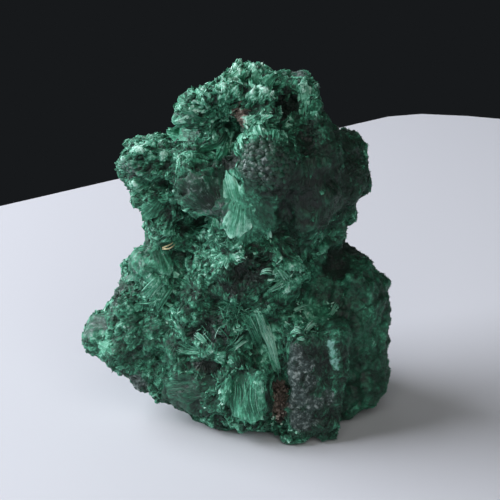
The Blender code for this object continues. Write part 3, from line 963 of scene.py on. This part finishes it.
# %% [markdown]
# Between the named ones stand hundreds of fans and thousands of small sheaves. Their roots are random
# points of the skin, and a short walk over it finds where each one ends. A fan is broad enough to be
# laid on the calm form, like a plate. Nothing grows where a plate covers the skin.

# %% Fans and small sheaves
PLATE_COVERS = 0.55 * MM
# Style is columns, rows, soft rounds, rounded and ragged end, and pleats. Stray is how far the way
# strays from the fibres. The others are shares of the length, and long is a share of the usual one.
SMALL = {
    "style": (4, 3, 0, 0.08, 0.16, 0.25), "stray": 0.45, "long": (0.4, 1.4), "out": (-0.04, 0.08),
    "spread": (0.14, 0.36), "root": 0.7, "thick": 0.20, "ground": None,
}
FAN = {
    "style": (14, 5, 0, 0.30, 0.08, 0.30), "stray": 0.30, "long": (1.8, 3.2), "out": (-0.02, 0.08),
    "spread": (0.22, 0.46), "root": 0.35, "thick": 0.14, "ground": settled,
}
SHEAF_CHANCE = 0.11

plate_points = plate_rings[:, ::2, ::2].reshape(-1, 3)
on_plate = plate_points[nearest(skin, tree_of(plate_points))]
for trait in ("sheaves", "cover"):
    traits[trait][away_from(on_plate) < PLATE_COVERS] = 0.0


def begun(chance, stray, ups, count, rng):
    """Random points of the skin, what is up there, and ways over it that stray from the fibres."""
    start = rng.choice(len(skin), count, p=chance / chance.sum())
    own_stray = np.broadcast_to(stray, len(skin))[start, None]
    aim = unit(direction[start] + own_stray * rng.normal(size=(count, 3)))
    up = ups[start]
    return start, up, unit(aim - dot(aim, up)[:, None] * up)


def stand_sheaves(name, where, count, kind, rng):
    """Sheaves on the part of the skin that where marks, each along the fibres there."""
    start, up, flat = begun(traits["sheaves"] * where, kind["stray"], calm_normals, count, rng)
    lengths = traits["sheaf"][start] * MM * rng.uniform(*kind["long"], count)
    end = walk(start, flat, lengths, 2)[:, 1]
    out = (lengths * rng.uniform(*kind["out"], count))[:, None]
    half = lengths * rng.uniform(*kind["spread"], count)
    half_widths = np.stack([kind["root"] * half, half], axis=1)
    rings, one = sheaves(
        carved[start], carved[end] + out * calm_normals[end], up, half_widths, kind["thick"] * lengths,
        kind["style"], rng, kind["ground"],
    )
    own = (tone[start] + tone[end]) / 2 + SHEAF_CHANCE * rng.normal(size=count)
    masks = {trait: traits[trait][start] for trait in TRAITS_SHOWN}
    return add_piece(name, sheaf_mesh(name, boxed(rings), one, half_widths, own, masks))


# %% [markdown]
# ## Fibres over the stone
# Each piece covers one part of the stone. It starts fibres at random points of the skin, more
# where the cover says so. Where the lift is small the fibre lies along the skin with its tip just
# out of it. Where it is large the fibre stands up straight, and its foot is sunk in the stone.

# %% Fibre pieces
STANDING = 18.0
SUNK = 0.10 * MM
TIP_OUT = (0.02 * MM, 0.20 * MM)
MIDDLE_OUT = (-0.02 * MM, 0.10 * MM)
OWN_TONE = 0.07
TIP_TONE = 0.14
TAPER = (0.6, 1.0)
# How far along its fibre each point is: a ring at the root, a ring in the middle, and the tip.
ALONG = np.append(np.repeat([0, 0.5], SIDES), 1)
# The least and greatest length, width and lift of a fibre, as a share of the usual one.
LENGTHS = (0.5, 1.25)
WIDTHS = (0.6, 1.3)
LIFTS = (0.4, 1.5)
BOX_MARGIN = 0.9 * MM


def boxed(points):
    """Points kept in the frame's box with a small margin, and above the ground."""
    low = cad_low - BOX_MARGIN
    low[2] = 0
    return np.clip(points, low, cad_high + BOX_MARGIN)


fibre_pieces = []


def strewn(name, parts, masks=TRAITS_SHOWN):
    """A piece from parts: points, triangles, tones, and the skin points that the masks come from."""
    points, triangles, tones, under = zip(*parts)
    offsets = np.cumsum([0] + [len(part) for part in points])
    joined = np.concatenate([part + offset for part, offset in zip(triangles, offsets)])
    mesh = mesh_from(name, boxed(np.concatenate(points)), joined)
    give(mesh, "tone", np.concatenate(tones))
    for trait in masks:
        give(mesh, trait, traits[trait][np.concatenate(under)])
    print(name, "parts:", len(parts), "triangles:", len(joined))
    fibre_pieces.append(add_piece(name, mesh))
    return mesh


def lay_fibres(name, where, count, rng):
    """Fibres on the part of the skin that where marks: three points each, laid or standing."""
    start, up, flat = begun(traits["cover"] * where, traits["lean"], normals, count, rng)
    lengths = traits["length"][start] * MM * rng.uniform(*LENGTHS, count)
    passed = walk(start, flat, lengths, 3)
    laid = carved[passed]
    laid[:, 0] -= SUNK * up
    laid[:, 1] += normals[passed[:, 1]] * rng.uniform(*MIDDLE_OUT, (count, 1))
    laid[:, 2] += normals[passed[:, 2]] * rng.uniform(*TIP_OUT, (count, 1))
    lift = np.radians(traits["lift"][start] * rng.uniform(*LIFTS, count))[:, None]
    rising = flat * np.cos(lift) + up * np.sin(lift)
    tips = lengths[:, None] * rising
    standing = np.stack([laid[:, 0], laid[:, 0] + 0.5 * tips, laid[:, 0] + tips], axis=1)
    stands = traits["lift"][start] > STANDING
    paths = np.where(stands[:, None, None], standing, laid)
    widths = traits["width"][start] * MM * rng.uniform(*WIDTHS, count)
    own = tone[start] + rng.normal(0, OWN_TONE, count)
    points, triangles, tones, under = bunch(paths, up, widths, TAPER, own, start)
    tones = tones + TIP_TONE * (np.tile(ALONG, count) - 0.5)
    strewn(name, [(points, triangles, tones, under)])


CROWN_FROM = 56 * MM
FOOT_TO = 32 * MM
FRONT_NORMAL = 0.35
FIRST_SEED = 100
high_up = skin[:, 2] > CROWN_FROM
low_down = skin[:, 2] < FOOT_TO
in_front = skin_normals[:, 1] < FRONT_NORMAL
on_left = skin[:, 0] < 0
# Name of a part of the stone: where it is, and how many fans, small sheaves and fibres it has.
REGIONS = {
    "crown": (high_up & in_front, 100, 2500, 4000),
    "middle": (~high_up & ~low_down & in_front, 110, 2600, 7000),
    "foot_left": (low_down & in_front & on_left, 90, 2500, 5000),
    "foot_right": (low_down & in_front & ~on_left, 20, 900, 12000),
    "back": (~in_front, 90, 2100, 8000),
}
streaked_pieces = [plates]
for number, (name, (where, fan_count, sheaf_count, fibre_count)) in enumerate(REGIONS.items()):
    piece_rng = np.random.default_rng(FIRST_SEED + number)
    streaked_pieces.append(stand_sheaves("fans_" + name, where, fan_count, FAN, piece_rng))
    streaked_pieces.append(stand_sheaves("sheaves_" + name, where, sheaf_count, SMALL, piece_rng))
    lay_fibres("fibres_" + name, where, fibre_count, piece_rng)
print("triangles of fans, sheaves and plates:", sum(len(piece.data.polygons) for piece in streaked_pieces))

# %% [markdown]
# ## Sprays
# In a few hollows the fibres had room to grow freely. There they stand as sprays of needles that
# cross each other, and catch the light. A spray's needles start close together under the skin and
# spread over a cone around the way out.

# %% Sprays of needles
# Name: pixel, radius of its foot, number of needles, their length and width, in millimetres, the
# half angle of the cone in degrees, and the tone.
SPRAYS = {
    "haystack": ((233, 312), 2.6, 150, 4.2, 0.20, 80, 0.50),
    "open star": ((205, 334), 1.6, 40, 3.0, 0.22, 70, 0.62),
    "shoulder foot": ((158, 301), 1.2, 24, 2.6, 0.26, 75, 0.66),
    "middle tangle": ((274, 276), 1.4, 10, 1.4, 0.5, 80, 0.78),
    "middle tangle's side": ((284, 286), 1.2, 8, 1.4, 0.46, 80, 0.80),
    "slab tangle": ((302, 312), 2.4, 16, 1.1, 0.6, 80, 0.74),
    "slab tangle's right": ((331, 309), 1.5, 8, 1.1, 0.55, 80, 0.74),
    "slab tangle's foot": ((312, 326), 2.6, 12, 1.1, 0.55, 80, 0.72),
    "waist": ((240, 256), 1.5, 26, 1.4, 0.45, 75, 0.78),
    "under the disc": ((222, 240), 1.6, 40, 2.2, 0.22, 75, 0.55),
}
# Shares of a needle's length: how much of it is sunk, and how far it curls.
SPRAY_FOOT = 0.35
SPRAY_CURL = 0.08
SPRAY_CHANCE = 0.14
SPRAY_STEPS = 4
SPRAY_TAPER = (0.8, 1.0, 0.8)
SPRAY_LENGTHS = (0.5, 1.2)
SPRAY_WIDTHS = (0.6, 1.2)


def grow_spray(pixel, radius, count, length, width, angle, pale, rng):
    """Needles whose tilt from the way out is angle x sqrt(u), at any turn around it, a little curled."""
    near = away_from(on_stone(*pixel)) < radius * MM
    start = rng.choice(np.flatnonzero(near), count)
    up = unit(normals[near].sum(axis=0) + skin_normals[near].sum(axis=0))
    side = unit(np.cross(up, [0.0, 0.0, 1.0]))
    other = np.cross(up, side)
    tilt = np.radians(angle) * np.sqrt(rng.random((count, 1)))
    turn = rng.uniform(0, math.tau, (count, 1))
    aim = np.cos(tilt) * up + np.sin(tilt) * (np.cos(turn) * side + np.sin(turn) * other)
    long = length * MM * rng.uniform(*SPRAY_LENGTHS, (count, 1))
    root = carved[start] - SPRAY_FOOT * long * aim
    curl = unit(np.cross(aim, rng.normal(size=(count, 3)))) * SPRAY_CURL * long
    shares = np.linspace(0, 1, SPRAY_STEPS)[:, None]
    paths = root[:, None] + shares * (long * aim)[:, None] + shares**2 * curl[:, None]
    widths = width * MM * rng.uniform(*SPRAY_WIDTHS, count)
    tones = pale + rng.normal(0, SPRAY_CHANCE, count)
    return bunch(paths, np.tile(up, (count, 1)), widths, SPRAY_TAPER, tones, start)


spray_rng = np.random.default_rng(7)
strewn("needle_sprays", [grow_spray(*values, spray_rng) for values in SPRAYS.values()], masks=())

# %% [markdown]
# ## Locks of long fibres
# Some fibres are long enough to be seen one by one. A lock is a bunch of them beside each other. Its
# middle line is a curve through three pixels of the picture, laid on the stone.

# %% Locks
# Name: pixels of the curve, its half width at the start and the end, number of fibres, their width
# and how high they lie over the stone, in millimetres, and the tone.
LOCKS = {
    "long fibres' start": (((256, 309), (263, 322), (268, 340)), 0.6, 0.8, 44, 0.22, 0.9, 0.72),
    "long fibres' end": (((263, 326), (274, 346), (281, 375)), 1.2, 0.5, 70, 0.20, 1.1, 0.84),
    "long fibres' left side": (((244, 312), (254, 328), (262, 350)), 0.9, 1.1, 40, 0.20, 0.6, 0.54),
    "shoulder blades": (((161, 280), (152, 287), (144, 300)), 1.0, 1.5, 24, 0.36, 0.7, 0.68),
    "shoulder needle": (((157, 303), (147, 304), (136, 303)), 0.1, 0.1, 3, 0.28, 0.9, 0.78),
    "shoulder strip": (((173, 286), (165, 297), (156, 313)), 0.3, 0.6, 24, 0.30, 0.8, 0.54),
    "first needle over the star": (((213, 343), (218, 332), (222, 322)), 0.1, 0.1, 1, 0.30, 1.2, 0.84),
    "second needle over the star": (((228, 348), (235, 337), (241, 325)), 0.1, 0.1, 1, 0.24, 1.2, 0.80),
    "third needle over the star": (((203, 330), (209, 337), (214, 345)), 0.1, 0.1, 1, 0.26, 1.0, 0.76),
    "fourth needle over the star": (((219, 327), (227, 334), (233, 345)), 0.1, 0.1, 1, 0.22, 1.0, 0.70),
    "tuft left of the star": (((207, 343), (200, 340), (194, 333)), 0.2, 0.9, 18, 0.24, 0.7, 0.80),
    "tuft right of the star": (((234, 351), (240, 343), (247, 336)), 0.3, 0.9, 20, 0.24, 0.7, 0.78),
    "fan left of the star": (((206, 352), (190, 352), (176, 344)), 0.4, 1.6, 40, 0.20, 0.5, 0.58),
    "tangle's curl": (((259, 274), (267, 268), (275, 273)), 0.3, 0.8, 20, 0.20, 0.9, 0.74),
    "tangle's lower curl": (((268, 292), (277, 286), (287, 281)), 0.3, 0.9, 20, 0.20, 0.9, 0.72),
    "tangle's side curl": (((279, 270), (285, 275), (289, 283)), 0.2, 0.8, 14, 0.20, 0.9, 0.70),
    "tuft over the slab's corner": (((290, 333), (297, 329), (303, 331)), 0.3, 0.8, 20, 0.24, 0.9, 0.86),
    "tuft over the slab": (((304, 333), (310, 326), (318, 323)), 0.3, 0.9, 22, 0.20, 0.9, 0.76),
    "tuft under the specks": (((293, 312), (301, 305), (309, 308)), 0.3, 0.9, 22, 0.20, 0.9, 0.72),
    "tuft over the film": (((330, 316), (335, 308), (338, 303)), 0.3, 0.6, 14, 0.22, 0.9, 0.74),
    "fleck on the slab": (((296, 339), (301, 338), (306, 339)), 0.2, 0.4, 10, 0.24, 0.8, 0.80),
    "block's fibres": (((238, 378), (247, 398), (239, 418)), 1.2, 1.6, 11, 0.17, 1.5, 0.60),
    "block's right fibres": (((254, 380), (249, 398), (256, 420)), 1.0, 1.0, 7, 0.17, 1.5, 0.62),
}
LOCK_STEPS = 6
LOCK_STRAY = 0.10
# The shares of the curve between which a fibre starts, and between which it ends.
LOCK_STARTS = (0.0, 0.18)
LOCK_ENDS = (0.80, 1.0)
# The least and greatest height of a fibre, and its height at its three places, as shares.
LOCK_HEIGHTS = (0.2, 1.0)
LOCK_ARCH = (0.3, 1.0, 0.6)
LOCK_WIDTHS = (0.5, 1.6)
LOCK_TAPER = (1.0, 0.6)
LOCK_CHANCE = 0.1


def curve(t, a, b, c):
    """The place (1-t)^2 a + 2 t (1-t) b + t^2 c on a curve that is pulled towards b."""
    return (1 - t) ** 2 * a + 2 * t * (1 - t) * b + t**2 * c


def lay_lock(pixels, half_start, half_end, count, width, lift, pale, rng):
    """Strands beside a curve of pixels, each by its own share of the width.

    A strand is a like curve in space, through three of its places on the calm form, lifted a little.
    """
    a, b, c = (np.array(pixel, float) for pixel in pixels)
    begin, finish = (rng.uniform(*span, (count, 1)) for span in (LOCK_STARTS, LOCK_ENDS))
    t = np.concatenate([begin, (begin + finish) / 2, finish], axis=1)
    middle = curve(t[..., None], a, b, c)
    share = rng.uniform(-1, 1, (count, 1)) + LOCK_STRAY * rng.normal(size=t.shape)
    side = unit(np.array([a[1] - c[1], c[0] - a[0]]))
    beside = (half_start + (half_end - half_start) * t) * MM / PIXEL * share
    places = middle + beside[..., None] * side
    spots = np.array([on_stone(*place) for place in places.reshape(-1, 2)])
    under = nearest(spots, calm_tree)
    high = lift * MM * rng.uniform(*LOCK_HEIGHTS, (count, 1)) * LOCK_ARCH
    lifted = calm[under] + high.reshape(-1, 1) * calm_normals[under]
    first, mid, last = lifted.reshape(count, 3, 1, 3).swapaxes(0, 1)
    steps = np.linspace(0, 1, LOCK_STEPS)[:, None]
    paths = curve(steps, first, 2 * mid - (first + last) / 2, last)
    widths = width * MM * rng.uniform(*LOCK_WIDTHS, count)
    taper = np.linspace(*LOCK_TAPER, LOCK_STEPS - 1)
    tones = pale + rng.normal(0, LOCK_CHANCE, count)
    return bunch(paths, calm_normals[under[1::3]], widths, taper, tones, under[1::3])


lock_rng = np.random.default_rng(43)
strewn("long_fibres", [lay_lock(*values, lock_rng) for values in LOCKS.values()])

# A straw-coloured splinter is stuck under the left knuckle.
STRAW = (((160, 248), (168, 244), (176, 240)), 0.08, 0.08, 6, 0.30, 1.6, 0.5)
straw_points, straw_faces, *_ = lay_lock(*STRAW, lock_rng)
straw = add_piece("straw_splinter", mesh_from("straw_splinter", straw_points, straw_faces))

# %% [markdown]
# ## Beads and grains
# The dark ball is covered with small round beads, as malachite often grows, and the rusty crust is a
# gravel of loose grains. Both are small spheres, half sunk in the skin: smooth ones and jagged ones.

# %% Beads and grains
# Name: pixel and radius of the area, number, least and greatest radius, how jagged, and the tone.
BEADS = {
    "ball": ((263, 164), 6.0, 170, 0.45, 0.90, 0.10, 0.10),
    "ball's foot": ((272, 182), 2.4, 24, 0.35, 0.6, 0.10, 0.08),
    "rusty crust": ((285, 402), 3.2, 200, 0.18, 0.36, 0.5, 0.40),
    "pale grains of the crust": ((283, 410), 3.0, 26, 0.15, 0.26, 0.5, 0.86),
    "slab's foot grains": ((294, 427), 2.4, 40, 0.15, 0.26, 0.5, 0.66),
}
BEAD_SUNK = 0.45
# How much paler a bead's outer side is than its side at the skin: a painted highlight and painted shade.
BEAD_TOP_HIGHLIGHT = 0.14
BEAD_CHANCE = 0.06
SPHERE_ROUNDS = 2


def sphere():
    """Points and triangles of a small sphere of radius one."""
    ball = bmesh.new()
    bmesh.ops.create_icosphere(ball, subdivisions=SPHERE_ROUNDS, radius=1.0)
    mesh = bpy.data.meshes.new("sphere")
    ball.to_mesh(mesh)
    ball.free()
    return arrays_of(mesh)


def scatter_beads(pixel, area, count, least, greatest, jagged, pale, rng):
    """Spheres on the skin near a pixel: points, triangles, tones and the skin point under each."""
    near = np.flatnonzero(away_from(on_stone(*pixel)) < area * MM)
    start = rng.choice(near, count)
    radius = MM * rng.uniform(least, greatest, (count, 1, 1))
    shape = SPHERE[None] * (1 + jagged * rng.normal(size=(count, len(SPHERE), 1)) / 2)
    centre = calm[start] - BEAD_SUNK * radius[:, 0] * calm_normals[start]
    points = centre[:, None] + radius * shape
    height = dot(SPHERE[None], calm_normals[start][:, None])
    # Painted highlight and painted shade: each bead is paler on its outer side and darker where it meets the
    # skin.
    tones = (pale + rng.normal(0, BEAD_CHANCE, (count, 1)) + BEAD_TOP_HIGHLIGHT * height).ravel()
    triangles = copies(sphere_faces, count, len(SPHERE))
    return points.reshape(-1, 3), triangles, tones, np.repeat(start, len(SPHERE))


SPHERE, sphere_faces = sphere()
bead_rng = np.random.default_rng(57)
strewn("beads", [scatter_beads(*values, bead_rng) for values in BEADS.values()]).shade_smooth()

# %% [markdown]
# ## Finishes
# Malachite is a copper carbonate. Its green is deep where it is massive, and pale and silky where
# thin fibres scatter the light, so one number, the tone, runs through a ramp of greens. The tone
# also carries painted shade in hollows, grooves, creases and on the shadow side, and painted
# highlights on rims and tops. Colours are written as hex values and turned to linear light by one
# function.

# %% Colours and nodes
# A coat begins where its mask and the grit add up to this, and how steep its edge is.
COAT_FROM = 0.74
COAT_EDGE = 4.0


def linear(hexcode):
    """An sRGB hex colour as linear light."""
    parts = [int(hexcode[i : i + 2], 16) / 255 for i in (1, 3, 5)]
    return (*[c / 12.92 if c <= 0.04045 else ((c + 0.055) / 1.055) ** 2.4 for c in parts], 1.0)


def add_node(tree, kind, inputs=(), **settings):
    """Adds a shader node, gives it its settings, and links or sets each named input."""
    made = tree.nodes.new("ShaderNode" + kind)
    for name, value in settings.items():
        setattr(made, name, value)
    for socket, value in dict(inputs).items():
        if isinstance(value, bpy.types.NodeSocket):
            tree.links.new(value, made.inputs[socket])
        else:
            made.inputs[socket].default_value = value
    return made


# The ramp of malachite's greens: tone and colour.
GREENS = (
    (0.00, "#081812"),
    (0.20, "#153A2B"),
    (0.42, "#27654D"),
    (0.60, "#469878"),
    (0.80, "#8ACDB3"),
    (1.00, "#C4EEDD"),
)
CRUST = ((0.34, "#14231F"), (0.51, "#3A4B47"), (0.73, "#93A09C"))
RUST = ((0.15, "#1A1614"), (0.50, "#625249"), (0.85, "#B4A79C"))
BLUE_FILM = "#84B8AD"


def ramp(tree, factor, stops):
    """A colour ramp through the given stops."""
    made = add_node(tree, "ValToRGB", {"Fac": factor})
    elements = made.color_ramp.elements
    while len(elements) < len(stops):
        elements.new(0.5)
    for element, (place, colour) in zip(elements, stops):
        element.position = place
        element.color = linear(colour)
    return made.outputs["Color"]


def worked(tree, operation, *values, clamp=False):
    """One step of arithmetic on two or three values."""
    return add_node(tree, "Math", dict(enumerate(values)), operation=operation, use_clamp=clamp).outputs[0]


def centred(tree, value):
    """A value from 0 to 1, moved to lie about 0."""
    return worked(tree, "SUBTRACT", value, 0.5)


def attribute(tree, name, output="Fac"):
    """The value that a mesh stores under a name."""
    return add_node(tree, "Attribute", attribute_name=name).outputs[output]


def over(tree, colour, coat, mask, grit):
    """The coat over the colour, where the mask and the grit together pass a threshold."""
    passed = worked(tree, "ADD", mask, worked(tree, "SUBTRACT", grit, COAT_FROM))
    share = worked(tree, "MULTIPLY", passed, COAT_EDGE, clamp=True)
    return add_node(tree, "Mix", {0: share, 6: colour, 7: coat}, data_type="RGBA").outputs[2]


# %% [markdown]
# The finish reads the attributes. Fine noise across the grain draws single fibres that are too
# thin for geometry, about 0.3 mm apart, and the same noise raises them as bump. Where the stone is
# crumbly, cells drawn out along the grain break it up into splinters, each with its own tone and a
# crease around it that is painted darker, as painted shade. The crust and the rust lie over the
# green where their own noise lets them, so their edges are ragged.

# %% Fibrous malachite
# The scale of the fibres is in a millimetre of the grain, that of the grit in a metre of the stone.
FIBRE_NOISE = {"Scale": 1.7, "Detail": 4.0}
GRIT_NOISE = {"Scale": 1100, "Detail": 3.0, "Roughness": 0.65}
# What the streaks add to the tone and to the crust, and the grit to the tone.
STREAK = 0.65
CRUST_STREAK = 0.55
GRIT = 0.50
SILK = {
    "IOR": 1.7, "Specular IOR Level": 0.25, "Roughness": 0.5, "Sheen Weight": 0.1,
    "Sheen Tint": linear("#A8E6C8"),
}
BUMP_HEIGHT = 0.12 * MM
BUMP_GRIT = 0.5
# Cells drawn out along the grain: how much of the place is added to the grain, their number in a
# millimetre, how uneven they are, and what they add to the tone and to the bump.
CELL_PLACE = 450
CELLS_PER_MM = 1.15
CELL_UNEVEN = 0.6
CELL_TONE = 0.22
CREASE_WIDTH = 0.16
CREASE_SHADE_TONE = 0.12
CREASE_DEPTH = 0.9


def crumbs(tree, grain, place, grit):
    """Splinters in the finish: a tone for each cell with painted shade in its creases, and the bump height.
    """
    moved = add_node(tree, "VectorMath", {0: place, 1: (CELL_PLACE,) * 3, 2: grain}, operation="MULTIPLY_ADD")
    bent = add_node(
        tree, "VectorMath", {0: grit, 1: (CELL_UNEVEN,) * 3, 2: moved.outputs[0]}, operation="MULTIPLY_ADD"
    ).outputs[0]
    lattice = {"Vector": bent, "Scale": CELLS_PER_MM}
    tones = add_node(tree, "TexVoronoi", lattice).outputs["Color"]
    border = add_node(tree, "TexVoronoi", lattice, feature="DISTANCE_TO_EDGE").outputs["Distance"]
    inside = worked(tree, "DIVIDE", border, CREASE_WIDTH, clamp=True)
    chance = centred(tree, add_node(tree, "SeparateColor", {"Color": tones}).outputs[0])
    # Painted shade: the crease around each splinter darkens the tone.
    crease = worked(tree, "MULTIPLY", worked(tree, "SUBTRACT", inside, 1.0), CREASE_SHADE_TONE)
    broken = worked(tree, "MULTIPLY_ADD", chance, CELL_TONE, crease)
    share = attribute(tree, "crumb")
    return worked(tree, "MULTIPLY", broken, share), worked(tree, "MULTIPLY", inside, share)


def finish_of(name, settings):
    """A new material whose shader has the given settings."""
    material = bpy.data.materials.new(name)
    material.use_nodes = True
    for socket, setting in settings.items():
        material.node_tree.nodes["Principled BSDF"].inputs[socket].default_value = setting
    return material


def malachite(name, streaked):
    """Fibrous malachite: a ramp of greens by tone, with oxides over it, and a soft silky gloss."""
    material = finish_of("fibrous malachite, " + name, SILK)
    tree = material.node_tree
    shader = tree.nodes["Principled BSDF"]
    place = add_node(tree, "TexCoord").outputs["Object"]
    grit = add_node(tree, "TexNoise", {"Vector": place} | GRIT_NOISE).outputs["Fac"]
    value = worked(tree, "MULTIPLY_ADD", centred(tree, grit), GRIT, attribute(tree, "tone"))
    mottled = grit
    if streaked:
        grain = attribute(tree, "grain", "Vector")
        streak = add_node(tree, "TexNoise", {"Vector": grain} | FIBRE_NOISE).outputs["Fac"]
        lines = centred(tree, streak)
        value = worked(tree, "MULTIPLY_ADD", lines, STREAK, value)
        broken, relief = crumbs(tree, grain, place, grit)
        value = worked(tree, "ADD", value, broken)
        mottled = worked(tree, "MULTIPLY_ADD", lines, CRUST_STREAK, worked(tree, "ADD", grit, broken))
        rough = worked(tree, "MULTIPLY_ADD", grit, BUMP_GRIT, streak)
        raised = worked(tree, "MULTIPLY_ADD", relief, CREASE_DEPTH, rough)
        bump = add_node(tree, "Bump", {"Height": raised, "Distance": BUMP_HEIGHT, "Strength": 1.0})
        tree.links.new(bump.outputs["Normal"], shader.inputs["Normal"])
    colour = ramp(tree, value, GREENS)
    colour = over(tree, colour, ramp(tree, mottled, CRUST), attribute(tree, "crust"), grit)
    colour = over(tree, colour, ramp(tree, value, RUST), attribute(tree, "rust"), grit)
    colour = over(tree, colour, linear(BLUE_FILM), attribute(tree, "blue"), grit)
    tree.links.new(colour, shader.inputs["Base Color"])
    return material


broken_face = malachite("broken face", True)
for piece in (stone, *streaked_pieces):
    piece.data.materials.append(broken_face)
single_fibres = malachite("single fibres", False)
for piece in fibre_pieces:
    piece.data.materials.append(single_fibres)
straw.data.materials.append(finish_of("dry straw", {"Base Color": linear("#CFC59C"), "Roughness": 0.7}))

# %% [markdown]
# ## Floor and light
# The stone stands on a pale table with a window on its left. A large soft light takes the window's
# place, and weak ones keep the shadow side readable. The table ends not far behind the stone, and
# beyond it the room is dark.

# %% Floor
# The corners of the table top, in metres, and its thickness.
TABLE_CORNERS = (
    (-0.90, -0.555), (0.055, 0.246), (0.068, 0.250), (0.085, 0.247), (1.30, -0.20), (0.60, -1.60),
)
TABLE_THICKNESS = 20 * MM
TABLE_GAP = 0.05 * MM
PAINT = {"Base Color": linear("#D2D3D8"), "Roughness": 0.8, "Specular IOR Level": 0.15}


def table_top():
    """A flat slab with the given corners, whose upper side lies just under z = 0."""
    slab = bmesh.new()
    ring = [slab.verts.new((x, y, -TABLE_GAP)) for x, y in reversed(TABLE_CORNERS)]
    pushed = bmesh.ops.extrude_face_region(slab, geom=[slab.faces.new(ring)])
    moved = [item for item in pushed["geom"] if isinstance(item, bmesh.types.BMVert)]
    bmesh.ops.translate(slab, verts=moved, vec=(0, 0, -TABLE_THICKNESS))
    bmesh.ops.recalc_face_normals(slab, faces=slab.faces)
    mesh = bpy.data.meshes.new("floor")
    slab.to_mesh(mesh)
    slab.free()
    return mesh


floor = loose_object("floor", table_top())
floor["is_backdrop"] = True
floor.data.materials.append(finish_of("pale matt paint", PAINT))

# %% Light
WORLD_COLOUR = "#17191B"
# The place that the lights are turned to, in metres.
LIGHT_AIM = (0, 0, 0.03)
# Name: place, width and height in metres, watts, and colour.
LIGHTS = {
    "window": ((-0.72, 0.06, 0.50), 0.92, 0.60, 15.0, "#F4F7FF"),
    "room": ((0.14, -1.00, 0.80), 1.2, 1.2, 6.6, "#FBFAF6"),
    "behind": ((-0.30, 1.00, 0.60), 1.0, 1.0, 1.4, "#F4F8FF"),
}


def soft_light(name, place, width, height, watts, colour):
    """A rectangular light at a place, turned towards the stone."""
    light = bpy.data.lights.new(name, "AREA")
    light.shape = "RECTANGLE"
    light.size = width
    light.size_y = height
    light.energy = watts
    light.color = linear(colour)[:3]
    lamp = loose_object(name, light)
    lamp.location = place
    lamp.rotation_euler = (Vector(LIGHT_AIM) - Vector(place)).to_track_quat("-Z", "Y").to_euler()


for name, values in LIGHTS.items():
    soft_light(name, *values)
world = bpy.data.worlds.new("dim room")
world.use_nodes = True
world.node_tree.nodes["Background"].inputs["Color"].default_value = linear(WORLD_COLOUR)
bpy.context.scene.world = world
bpy.context.scene.view_settings.view_transform = "Standard"
